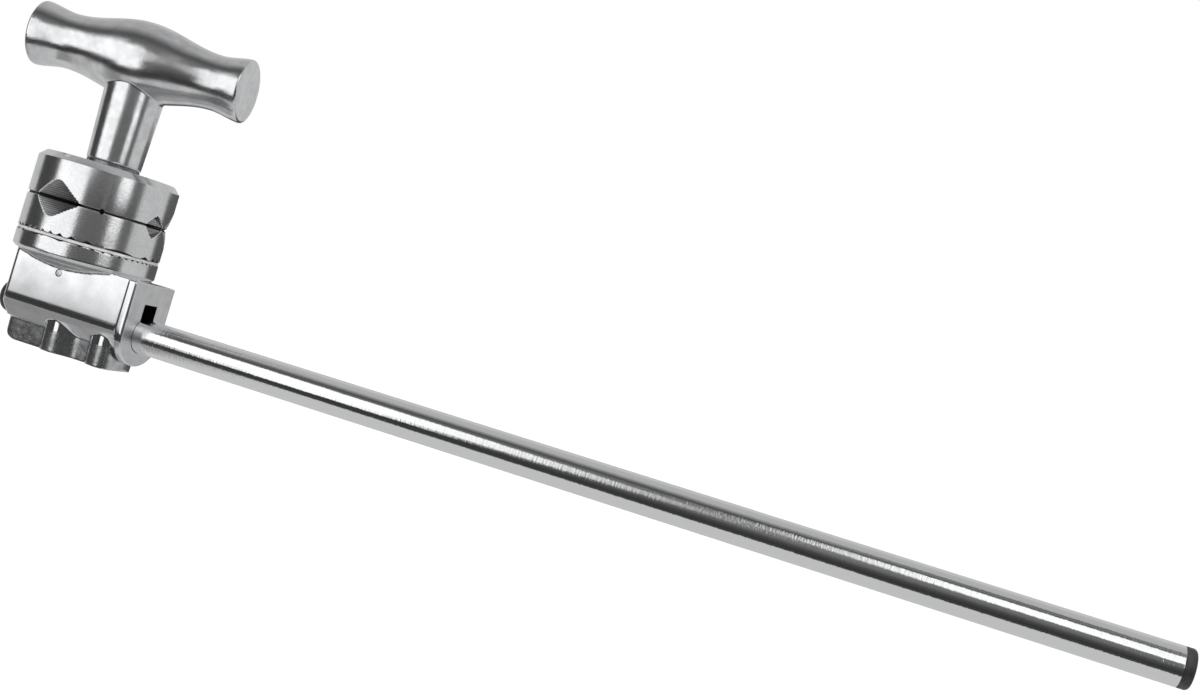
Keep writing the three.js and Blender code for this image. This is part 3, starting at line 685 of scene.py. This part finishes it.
for name, node, (x, y) in (("jawDowelRear", "jaw_dowel_rear", jaws["dowels"][0]),
                           ("jawDowelFront", "jaw_dowel_front", jaws["dowels"][1])):
    dowel = turned(name, softened([
        (0, dowelLow), (jaws["dowelRadius"], dowelLow, jaws["dowelEdges"][0]),
        (jaws["dowelRadius"], dowelTop, jaws["dowelEdges"][1]), (0, dowelTop)]), segments=64)
    moved(dowel, Matrix.Rotation(clamp["jawTurn"], 4, "Z") @ Matrix.Translation((x, y, 0)))
    fit(dowel, "lower_jaw", "pinSteel", "pin_steel", node)

spring = {"wire": 1.1, "radius": 5.6125, "turns": 6, "endTurns": 0.6, "seatGap": 0.1, "stepsPerTurn": 64,
          "sides": 16}
springLow = lowerTop - jaws["springDepth"] + spring["wire"] / 2 + spring["seatGap"]
springHigh = upperBottom + jaws["springDepth"] - spring["wire"] / 2 - spring["seatGap"]


def wirePoint(share):
    # the end turns lie nearly flat and the turns between them climb
    end, turns = spring["endTurns"], spring["turns"]
    wound = share * turns
    climb = min(max((wound - end) / (turns - 2 * end), 0), 1)
    flat = spring["wire"] / 2 * (min(wound / end, 1) + max((wound - turns + end) / end, 0))
    height = springLow + flat + climb * (springHigh - springLow - spring["wire"])
    return Vector((spring["radius"] * cos(wound * turn), spring["radius"] * sin(wound * turn), height))


points, faces = [], []
steps, sides = spring["turns"] * spring["stepsPerTurn"], spring["sides"]
for i in range(steps + 1):
    here = wirePoint(i / steps)
    out = Vector((here.x, here.y, 0)).normalized()
    ahead = (wirePoint(min(i + 1, steps) / steps) - wirePoint(max(i - 1, 0) / steps)).normalized()
    up = ahead.cross(out).normalized() * -1
    for k in range(sides):
        angle = turn * k / sides
        points.append(here + (out * cos(angle) + up * sin(angle)) * spring["wire"] / 2)
    if i:
        base = (i - 1) * sides
        faces += [[base + k, base + sides + k, base + sides + (k + 1) % sides, base + (k + 1) % sides]
                  for k in range(sides)]
faces += [list(range(sides)), [steps * sides + k for k in reversed(range(sides))]]
jawSpring = smoothed(pieceFrom("jawSpring", points, faces), sharpDegrees=60)
jawSpring.data.materials.append(finishes["zincSteel"])
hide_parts("jaw_spring")
springLow * mm
springHigh * mm
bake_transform(jawSpring)
print("jaws made")


# friction ring

ring = {"outer": 31.4, "inner": 19.0, "edge": 0.3}
frictionRing = turned("frictionRing", softened([
    (ring["inner"], discTop, ring["edge"]), (ring["outer"], discTop, ring["edge"]),
    (ring["outer"], ringTop, ring["edge"]), (ring["inner"], ringTop, ring["edge"])]),
    segments=256, closed=True)
fit(frictionRing, "arm", "paleRing", "pale_ring", "friction_ring")


# the head's casting: a disc on a block, with a keel under it

head = {
    "discThickness": 7.7, "discEdge": 1.1, "lipInset": 1.2, "lipHeight": 0.5, "coneDepth": 4.6,
    "coneStep": 0.3, "hubRadius": 18.8, "hubHeight": 0.9, "width": 31.4, "left": 25.5, "right": 40,
    "topDrop": 0.6, "topEdge": 0.2, "corner": 2.5, "frontDrop": 0.9, "plate": 4, "plateProud": 0.35,
    "plateCorner": 1.1, "plateInner": 0.4, "plateTop": 1, "plateRound": 1.2, "lowerRound": 9,
    "keelDraft": 1.0, "draftBelow": -10, "keelDepth": 18.8, "keelTop": 5, "keelWidth": 16.6,
    "keelLeft": 25.3, "keelRight": 34.6, "keelEnd": 3.2, "keelCorners": [6.5, 2], "lobes": [3.4, 28],
    "lobeCrest": 13.1, "lobeRise": 7.2, "lobeFall": 11.6, "slotStart": -6.2, "slotWidth": 10,
    "slotTop": 14.4, "pinHeight": 17.1, "pinRadius": 1.5875, "pinGap": 0.15, "rodPin": 2.38,
    "rodPinPlace": -12, "voxel": 0.36, "smoothing": 5, "planReach": (-30, 40), "sideReach": 40,
    "boreReach": 70, "pinReach": 20, "overHub": 3, "grooveBore": 19, "grooveReach": (-3, 4),
}
# what tells the casting's faces apart, as lengths from the named faces and as parts of a face's normal
headFaces = {
    "endSlack": 0.5, "endNormal": 0.96, "keelSlack": 0.4, "grooveDepth": 1, "grooveLength": 0.02,
    "grooveFlat": 0.97, "coneSlack": 0.5, "coneNormal": -0.25,
}
discBottom = discTop - head["discThickness"]
blockTop = discBottom - head["topDrop"]
side = head["width"] / 2
rodRadius = 7.9375


def keelHalf(x):
    # each lobe rises steeply out of the keel's flat wall and falls away slowly
    flat = head["keelWidth"] / 2
    for crest in head["lobes"]:
        if crest - head["lobeRise"] <= x <= crest:
            away = (crest - x) / head["lobeRise"]
            return flat + (head["lobeCrest"] - flat) * sqrt(max(0, 1 - away * away))
        if crest < x <= crest + head["lobeFall"]:
            return flat + (head["lobeCrest"] - flat) * (1 + cos(pi * (x - crest) / head["lobeFall"])) / 2
    return flat


def keelPlan():
    # half the outline seen from above, then both halves
    left, right, end = head["keelLeft"], head["keelRight"], head["keelEnd"]
    flat, start, last = head["keelWidth"] / 2, end - left, right - end
    wall = [(-left, 0)]
    wall += [(-left + end * (1 - cos(a)), flat - end * (1 - sin(a)))
             for a in [pi / 2 * share for share in shares(10)]]
    wall += [(x, keelHalf(x)) for x in [start + (last - start) * share for share in shares(160)[1:]]]
    width = keelHalf(last)
    for t in shares(12)[1:]:
        wall.append((last * (1 - t) ** 2 + 2 * right * t * (1 - t) + right * t * t,
                     width * (1 - t) ** 2 + 2 * (width - end) * t * (1 - t)))
    near = [(x, -w) for x, w in wall[1:-1]]
    far = [(x, w) for x, w in reversed(wall)]
    return near + far


def headPlan():
    return softened([(-head["left"], -side, head["corner"]), (head["right"], -side, head["corner"]),
                     (head["right"], side, head["corner"]), (-head["left"], side, head["corner"])],
                    steps=10)


def acrossBlock(piece):
    # from round the z axis to the bolt pin's place, which lies along y
    return moved(piece, Matrix.Translation((0, 0, head["pinHeight"])) @ Matrix.Rotation(pi / 2, 4, "X"))


def headFinish(place, normal):
    # polished on the block, milled on the end plate and the cone, turned on the disc; the keel is rougher and
    # its darker colour is painted shade, and the disc's grooves get painted shade
    x, y, z = place
    away = sqrt(x * x + y * y)
    if normal.x > headFaces["endNormal"] and x > head["right"] - headFaces["endSlack"]:
        return "milledEnd"
    # painted shade: the keel under the block takes a darker copy of the casting's finish
    if z < slope - headFaces["keelSlack"] and x < head["right"] - head["plate"]:
        return "keelCasting"
    # painted shade in the grooves on the disc's top, under the ring
    if (z > discTop - headFaces["grooveDepth"] and abs(normal.x) < headFaces["grooveLength"]
            and abs(normal.z) < headFaces["grooveFlat"] and away < ring["outer"]):
        return "darkGap"
    if z > lipBottom:
        return "turnedJaw"
    if z > coneBottom - headFaces["coneSlack"] and away > side and normal.z < headFaces["coneNormal"]:
        return "milledEnd"
    return "headCasting"


lip = clamp["jawRadius"] - head["lipInset"]
lipBottom = discBottom - head["lipHeight"]
coneBottom = discBottom - head["coneDepth"]
stepRadius, stepHeight = (lip + side) / 2, (lipBottom + coneBottom) / 2
disc = turned("headCasting", softened([
    (0, coneBottom), (side, coneBottom), (stepRadius, stepHeight - head["coneStep"] / 2),
    (stepRadius, stepHeight + head["coneStep"] / 2), (lip, lipBottom), (lip, discBottom),
    (clamp["jawRadius"], discBottom, head["discEdge"]), (clamp["jawRadius"], discTop, head["topEdge"]),
    (head["hubRadius"], discTop), (head["hubRadius"], discTop + head["hubHeight"]),
    (0, discTop + head["hubHeight"])]), segments=240)
slope = -head["frontDrop"] - (side - head["keelWidth"] / 2)
body = drawnOut("body", softened([
    (-side, -head["frontDrop"], head["lowerRound"]), (-head["keelWidth"] / 2, slope),
    (head["keelWidth"] / 2, slope), (side, -head["frontDrop"], head["lowerRound"]),
    (side, blockTop), (-side, blockTop)], steps=16), -head["left"], head["right"], "x")
common(body, drawnOut("plan", headPlan(), *head["planReach"]))
reach, start = side + head["plateProud"], head["right"] - head["plate"]
under = [(reach * cos(a), head["plateRound"] + side * sin(a))
         for a in [pi + pi * share for share in shares(48)]]
above = softened([under[-1], (reach, blockTop, head["plateTop"]), (-reach, blockTop, head["plateTop"]),
                  under[0]])[1:-1]
plate = drawnOut("plate", under + above, start, head["right"], "x")
common(plate, drawnOut("plan", softened([
    (start, -reach, head["plateInner"]), (head["right"], -reach, head["plateCorner"]),
    (head["right"], reach, head["plateCorner"]), (start, reach, head["plateInner"])]), *head["planReach"]))
keel = drawnOut("keel", keelPlan(), -head["keelDepth"], -head["frontDrop"])
for vertex in keel.data.vertices:
    if vertex.co.z < head["draftBelow"] * mm:
        vertex.co.y -= head["keelDraft"] * mm * (1 if vertex.co.y > 0 else -1)
keelSide = drawnOut("side", softened([
    (-head["keelLeft"], -head["keelDepth"], head["keelCorners"][0]),
    (head["keelRight"], -head["keelDepth"], head["keelCorners"][1]),
    (head["keelRight"], head["keelTop"]), (-head["keelLeft"], head["keelTop"])]),
    -head["sideReach"], head["sideReach"])
common(keel, moved(keelSide, Matrix.Rotation(pi / 2, 4, "X")))
joined(disc, body, plate, keel)
castSkin(disc, head["voxel"], head["smoothing"])
bore = alongX(roundHole(rodRadius + clamp["fixedGap"], -head["boreReach"], head["boreReach"], segments=96))
slot = block("slot", (head["slotStart"], -head["slotWidth"] / 2, 0),
             (head["right"] + clear, head["slotWidth"] / 2, head["slotTop"]))
boltHole = roundHole(boltRadius + clamp["fixedGap"], head["slotTop"] - clear, discTop + head["overHub"])
pinHole = acrossBlock(roundHole(head["pinRadius"] + head["pinGap"], -head["pinReach"], head["pinReach"]))
rodPinHole = roundHole(head["rodPin"] + clamp["fixedGap"], -head["keelDepth"] - clear, 0, head["rodPinPlace"])
grooveLow, grooveHigh = [discTop + reach for reach in head["grooveReach"]]
discGrooves = cut(grooveCutter("grooves", clamp["discGroove"], discTop, -1),
                  roundHole(head["grooveBore"], grooveLow, grooveHigh))
cut(disc, bore, slot, boltHole, pinHole, rodPinHole, discGrooves)
fit(disc, "arm", "headCasting", "polished_casting", "base_casting")
dress(disc, ["headCasting", "milledEnd", "keelCasting", "turnedJaw", "darkGap"], headFinish)
print("head casting made")


# rod and its caps

rod = {"radius": rodRadius, "bore": 5.5375, "left": -29.9, "right": 496.3, "edge": 0.35, "pinReach": 12}
armRod = turned("armRod", softened([
    (rod["bore"], rod["left"]), (rod["radius"], rod["left"], rod["edge"]),
    (rod["radius"], rod["right"], rod["edge"]), (rod["bore"], rod["right"])]), segments=192, closed=True)
alongX(armRod)
cut(armRod, roundHole(head["rodPin"] + clamp["fixedGap"], -rod["pinReach"], rod["pinReach"],
                      head["rodPinPlace"]))
fit(armRod, "arm", "chrome", "chrome", "arm_rod")

cap = {"length": 4.2, "stem": 5.3375, "stemLength": 10, "stemEdge": 0.5, "seatGap": 0.02, "rimEdge": 0.25,
       "freeEdge": 1.6, "headEdge": 3.4}


def endCap(name, node, place, direction, edge):
    piece = turned(name, softened([
        (0, -cap["stemLength"]), (cap["stem"], -cap["stemLength"], cap["stemEdge"]),
        (cap["stem"], cap["seatGap"]), (rodRadius, cap["seatGap"], cap["rimEdge"]),
        (rodRadius, cap["length"], edge), (0, cap["length"])], steps=10), segments=128)
    moved(piece, Matrix.Translation((place, 0, 0)) @ Matrix.Rotation(direction * pi / 2, 4, "Y"))
    fit(piece, "arm", "blackPlastic", "black_plastic", node)


endCap("freeEndCap", "free_end_cap", rod["right"], 1, cap["freeEdge"])
endCap("headEndCap", "head_end_cap", rod["left"], -1, cap["headEdge"])
print("rod made")


# clamp bolt, its plain pin and the rod's roll pin

bolt = {"bottom": 8.3375, "top": 108.5, "pitch": 1.5875, "threadFrom": 20, "runIn": 2, "root": 3.9,
        "crestSlope": 1.25, "crestDrop": 0.1, "rows": 10, "segments": 56, "chamfer": 0.8, "pinReach": 8}


def threadRadius(angle, height):
    if height < bolt["threadFrom"]:
        return boltRadius
    wave = abs(2 * ((height / bolt["pitch"] - angle / turn) % 1) - 1)
    crest = min(max(bolt["crestSlope"] * wave - bolt["crestDrop"], 0), 1)
    start = min((height - bolt["threadFrom"]) / bolt["runIn"], 1)
    end = max(0, height - bolt["top"] + bolt["chamfer"])
    return min(boltRadius - (1 - crest) * (boltRadius - bolt["root"]) * start, boltRadius - end)


rows = int((bolt["top"] - bolt["bottom"]) / bolt["pitch"] * bolt["rows"])
points, faces = [], []
for i in range(rows + 1):
    height = bolt["bottom"] + (bolt["top"] - bolt["bottom"]) * i / rows
    for k in range(bolt["segments"]):
        angle = turn * k / bolt["segments"]
        around = threadRadius(angle, height)
        points.append((around * cos(angle), around * sin(angle), height))
count = bolt["segments"]
for i in range(rows):
    low, high = i * count, (i + 1) * count
    faces += [[low + k, low + (k + 1) % count, high + (k + 1) % count, high + k] for k in range(count)]
faces += [list(reversed(range(count))), [rows * count + k for k in range(count)]]
clampBolt = pieceFrom("clampBolt", points, faces)
cut(clampBolt, acrossBlock(roundHole(head["pinRadius"] + clamp["fixedGap"], -bolt["pinReach"],
                                     bolt["pinReach"], segments=48)))
fit(clampBolt, "arm", "zincSteel", "zinc_steel", "clamp_bolt")

pins = {"boltPinInset": 0.12, "boltPinEdge": 0.3, "rodPinInset": 0.35, "wall": 0.4, "slit": radians(25),
        "edge": 0.18, "steps": 72}
pinEnd = side - pins["boltPinInset"]
boltPin = acrossBlock(turned("boltPin", softened([
    (0, -pinEnd), (head["pinRadius"], -pinEnd, pins["boltPinEdge"]),
    (head["pinRadius"], pinEnd, pins["boltPinEdge"]), (0, pinEnd)]), segments=64))
fit(boltPin, "arm", "pinSteel", "pin_steel", "bolt_pin")

# the roll pin is a rolled strip: a tube with a slit along it and chamfered ends
radius, steps = head["rodPin"], pins["steps"]
low, high = -head["keelDepth"] + pins["rodPinInset"], rodRadius - pins["rodPinInset"]
inner, edge = radius - radius * pins["wall"], radius * pins["edge"]
profile = [(inner, low), (radius - edge, low), (radius, low + edge * 2), (radius, high - edge * 2),
           (radius - edge, high), (inner, high)]
size = len(profile)
points, faces = [], []
for k in range(steps + 1):
    angle = pins["slit"] + (turn - 2 * pins["slit"]) * k / steps
    points += [(r * cos(angle), r * sin(angle), z) for r, z in profile]
for k in range(steps):
    here, after = k * size, (k + 1) * size
    faces += [[here + i, after + i, after + (i + 1) % size, here + (i + 1) % size] for i in range(size)]
faces += [list(range(size)), [steps * size + i for i in reversed(range(size))]]
rodPin = moved(pieceFrom("rodPin", points, faces), Matrix.Translation((head["rodPinPlace"], 0, 0)))
fit(rodPin, "arm", "pinSteel", "pin_steel", "rod_pin")
print("bolt and pins made")


# T-handle and the washer under it

handle = {
    "length": 101.6, "height": 72.2, "crest": 37.2, "neck": 25.8, "rim": 30, "rimEdge": 1.1, "neckShare": 0.7,
    "turn": radians(12), "bossTop": 27.8, "bossBottom": 24.6, "bossEdge": 0.5, "bossDrop": 6, "coreDrop": 4,
    "insertFlats": 15, "insertLength": 30, "insertInset": 1.5, "insertGap": 0.1, "boltRoom": 2.5,
    "boltDrop": 3, "voxel": 0.4, "smoothing": 8, "steps": 120,
}
washer = {"radius": 12, "thickness": 1.9, "edge": 0.35, "boreEdge": 0.2}
washerBottom = upperTop + clamp["faceGap"]
bossBottom = washerBottom + washer["thickness"]
barHeight = clamp["split"] + handle["height"]


def barRadius(share):
    # a crest in the middle, a neck each side of it and a flared rim
    crest, neck, rim = handle["crest"] / 2, handle["neck"] / 2, handle["rim"] / 2
    if share < handle["neckShare"]:
        return neck + (crest - neck) * (1 + cos(share / handle["neckShare"] * pi)) / 2
    away = (share - handle["neckShare"]) / (1 - handle["neckShare"])
    return neck + (rim - neck) * away * away * (3 - 2 * away) if away < 1 else rim


half = handle["length"] / 2
edge = handle["rimEdge"]
steps = handle["steps"]
wall = [(barRadius(abs(k) / steps), half * k / steps) for k in range(1 - steps, steps)]
rimArc = [(handle["rim"] / 2 - edge * (1 - sin(a)), half - edge * (1 - cos(a)))
          for a in [pi / 2 * (1 - share) for share in shares(8)]]
profile = [(0, -half)] + [(r, -z) for r, z in reversed(rimArc)]
profile += [point for point in wall if abs(point[1]) < half - edge] + rimArc + [(0, half)]
bar = turned("tHandle", profile, segments=160)
moved(bar, Matrix.Translation((0, 0, barHeight)) @ Matrix.Rotation(handle["turn"], 4, "Z")
      @ Matrix.Rotation(pi / 2, 4, "Y"))
boss = turned("boss", softened([
    (0, bossBottom), (handle["bossBottom"] / 2, bossBottom, handle["bossEdge"]),
    (handle["bossTop"] / 2, barHeight - handle["bossDrop"]), (0, barHeight - handle["coreDrop"])]),
    segments=128)
joined(bar, boss)
castSkin(bar, handle["voxel"], handle["smoothing"])
across = handle["insertFlats"] / 2 / cos(pi / 6) + clamp["fixedGap"]
hexagon = [(across * cos(turn * k / 6 + pi / 6), across * sin(turn * k / 6 + pi / 6)) for k in range(6)]
insertLow = bossBottom + handle["insertInset"]
insertHigh = insertLow + handle["insertLength"]
cut(bar, drawnOut("hex", hexagon, insertLow - handle["insertGap"], insertHigh + handle["insertGap"]),
    roundHole(boltRadius + clamp["runningGap"], bossBottom - handle["boltDrop"],
              bolt["top"] + handle["boltRoom"]))
fit(bar, "handle", "handleCasting", "handle_casting", "t_handle")

# the race under the boss is painted dark as shade
upperRace = turned("upperRace", softened([
    (jaws["bore"], washerBottom, washer["boreEdge"]), (washer["radius"], washerBottom, washer["edge"]),
    (washer["radius"], bossBottom, washer["edge"]), (jaws["bore"], bossBottom, washer["boreEdge"])]),
    segments=192, closed=True)
fit(upperRace, "handle", "oiledSteel", "bearing_steel", "upper_race")
print("handle made")

# the inner pieces that keep the shape they have in the frame
for node, finish in (("lower_race", "bearingSteel"), ("needle_cage", "bearingSteel"),
                     ("handle_insert", "zincSteel")):
    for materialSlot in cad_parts[node].material_slots:
        materialSlot.material = finishes[finish]


# stage: floor, light cards and camera

# the lamp's size and place are in metres
stage = {
    "floorHeight": -350, "floorSize": 9000, "floorShade": 0.95, "wallShade": 0.58, "skyShade": 1.1,
    "pageShade": 1.0, "lampPower": 26, "lampSize": 1.4, "lampPlace": (0.25, -0.35, 1.5),
}
# a card stands, or lies where it says so; its corners are across and up (or x and y) in its own plane,
# and its levels are shares of its height with the light there
cards = [
    {"name": "leftBox", "at": (0, -383, 0), "turn": 0, "levels": [(0.0, 1.15)],
     "corners": [(-200, -108), (-20, -106), (27, -70), (36, -60), (36, 308), (-165, 350), (-200, 354)]},
    {"name": "blockBox", "at": (0, -383, 0), "turn": 0,
     "levels": [(0.0, 0.06), (0.027, 0.12), (0.058, 0.4), (0.11, 1.05), (0.14, 1.25)],
     "corners": [(-400, -62), (-200, -62), (-200, 354), (-400, 390)]},
    {"name": "farWedge", "at": (0, -714, 0), "turn": 0, "levels": [(0.0, 1.1)],
     "corners": [(-130, -130), (-58, -62), (-2, 35), (58, 55), (58, 450), (-2, 530), (-58, 590),
                 (-130, 650)]},
    {"name": "farTip", "at": (0, -714, 0), "turn": 0, "levels": [(0.0, 0.5)],
     "corners": [(58, 55), (102, 88), (150, 115), (201, 150), (240, 200), (240, 420), (201, 440), (102, 459),
                 (58, 459)]},
    {"name": "groundPatch", "at": (0, 0, -430), "turn": 0, "lying": True, "levels": [(0.0, 0.28)],
     "corners": [(-460, -383), (-258, -383), (-258, 60), (-460, 60)]},
    {"name": "leftUnder", "at": (0, -384, 0), "turn": 0, "levels": [(0.0, 0.05), (0.6, 0.04), (1.0, 0.05)],
     "corners": [(-450, -410), (70, -410), (70, -20), (-450, -20)]},
    {"name": "rightBox", "at": (1088, -255, 0), "turn": 60, "levels": [(0.0, 1.15)],
     "corners": [(-430, 0), (-70, 0), (-70, 1020), (-430, 1020)]},
    {"name": "rightGap", "at": (1088, -255, 0), "turn": 60, "levels": [(0.0, 0.12), (0.6, 0.16)],
     "corners": [(-70, -60), (385, -60), (385, 700), (-70, 700)]},
    {"name": "rightUnder", "at": (1090, -255, 0), "turn": 60, "levels": [(0.0, 0.06)],
     "corners": [(-430, -510), (385, -510), (385, 0), (-430, 0)]},
    {"name": "rightTip", "at": (0, -714, 0), "turn": 0, "levels": [(0.0, 0.5)],
     "corners": [(270, 480), (404, 410), (404, 1010), (270, 700)]},
    {"name": "rightHigh", "at": (0, -715, 0), "turn": 0, "levels": [(0.0, 1.15)],
     "corners": [(404, 440), (480, 335), (561, 300), (900, 280), (900, 1190), (480, 1190), (404, 900)]},
    {"name": "frontDark", "at": (0, -720, 0), "turn": 0,
     "levels": [(0.0, 0.06), (0.24, 0.035), (0.4, 0.07), (0.467, 0.12), (0.534, 0.16), (0.69, 0.2),
                (0.92, 0.15)],
     "corners": [(-330, -780), (1170, -780), (1170, 900), (-330, 900)]},
    {"name": "leftDark", "at": (-470, -200, 0), "turn": -90, "levels": [(0.0, 0.06)],
     "corners": [(-200, -250), (200, -250), (200, 450), (-200, 450)]},
    {"name": "rearDark", "at": (-30, 480, 0), "turn": 180, "levels": [(0.0, 0.1)],
     "corners": [(-310, -200), (310, -200), (310, 110), (-310, 110)]},
    {"name": "ceiling", "at": (0, 0, 1200), "turn": 0, "lying": True,
     "levels": [(0.0, 0.14), (0.18, 0.1), (0.28, 0.08), (0.43, 0.26), (0.56, 0.46), (1.0, 0.5)],
     "corners": [(-1500, -1200), (1500, -1200), (1500, 900), (-1500, 900)]},
    {"name": "ceilingPatch", "at": (0, 0, 1195), "turn": 0, "lying": True, "levels": [(0.0, 0.13)],
     "corners": [(440, -340), (900, -340), (900, -150), (440, -150)]},
]


def glowFinish(card):
    # light that changes from the card's foot to its top; a ramp stops at 1, so it holds half the light
    finish = Finish(card["name"], {"Base Color": (0, 0, 0, 1), "Roughness": 1.0, "Specular IOR Level": 0.0,
                                   "Emission Strength": 1.0})
    low, high = [end(corner[1] for corner in card["corners"]) for end in (min, max)]
    rise = finish.part(finish.place(), "Y" if "lying" in card else "Z") - low
    levels = finish.ramp(rise / (high - low), *[(share, level / 2) for share, level in card["levels"]])
    finish.feed("Emission Color", levels * 2)
    return finish.material


for card in cards:
    corners = [(across, up, 0) if "lying" in card else (across, 0, up) for across, up in card["corners"]]
    panel = pieceFrom(card["name"], corners, [list(range(len(corners)))])
    moved(panel, Matrix.Translation(card["at"]) @ Matrix.Rotation(radians(card["turn"]), 4, "Z"))
    panel.data.materials.append(glowFinish(card))
    panel.visible_camera = False
    panel.visible_diffuse = False
    panel.visible_shadow = False

size = stage["floorSize"]
floor = pieceFrom("floor", [(x * size, y * size, stage["floorHeight"])
                            for x, y in ((-1, -1), (1, -1), (1, 1), (-1, 1))], [[0, 1, 2, 3]])
floorFinish = Finish("floorFinish", {"Base Color": (*[stage["floorShade"]] * 3, 1), "Roughness": 0.9,
                                     "Specular IOR Level": 0.0})
floor.data.materials.append(floorFinish.material)
floor.visible_glossy = False

world = bpy.data.worlds.new("studio")
bpy.context.scene.world = world
world.use_nodes = True
world.node_tree.nodes.clear()
studio = Graph(world.node_tree)
sky, wallGlow, page = [studio.node("Background", {}, {"Color": (level, level, level, 1)})
                       for level in (stage["skyShade"], stage["wallShade"], stage["pageShade"])]
mirrored, seen = [studio.node("LightPath", {}, {}, ray) for ray in ("Is Glossy Ray", "Is Camera Ray")]
unseen = studio.node("MixShader", {}, {0: mirrored, 1: sky, 2: wallGlow})
studio.node("OutputWorld", {}, {"Surface": studio.node("MixShader", {}, {0: seen, 1: unseen, 2: page})})

lamp = bpy.data.lights.new("lamp", "AREA")
lamp.energy, lamp.size = stage["lampPower"], stage["lampSize"]
lampObject = bpy.data.objects.new("lamp", lamp)
lampObject.location = stage["lampPlace"]
lampObject.visible_glossy = False
bpy.context.scene.collection.objects.link(lampObject)

view = {"place": (388.28, -548.17, 46.96), "turn": (90.769, -16.433, 14.17), "lens": 40.639, "sensor": 36,
        "nearest": 10}
camera = bpy.data.objects.new("camera", bpy.data.cameras.new("camera"))
camera.location = Vector(view["place"]) * mm
camera.rotation_euler = Euler([radians(angle) for angle in view["turn"]], "XYZ")
camera.data.sensor_fit = "HORIZONTAL"
camera.data.sensor_width = view["sensor"]
camera.data.lens = view["lens"]
camera.data.clip_start = view["nearest"] * mm
bpy.context.scene.collection.objects.link(camera)
bpy.context.scene.camera = camera
bpy.context.scene.view_settings.view_transform = "Standard"
print("stage set")
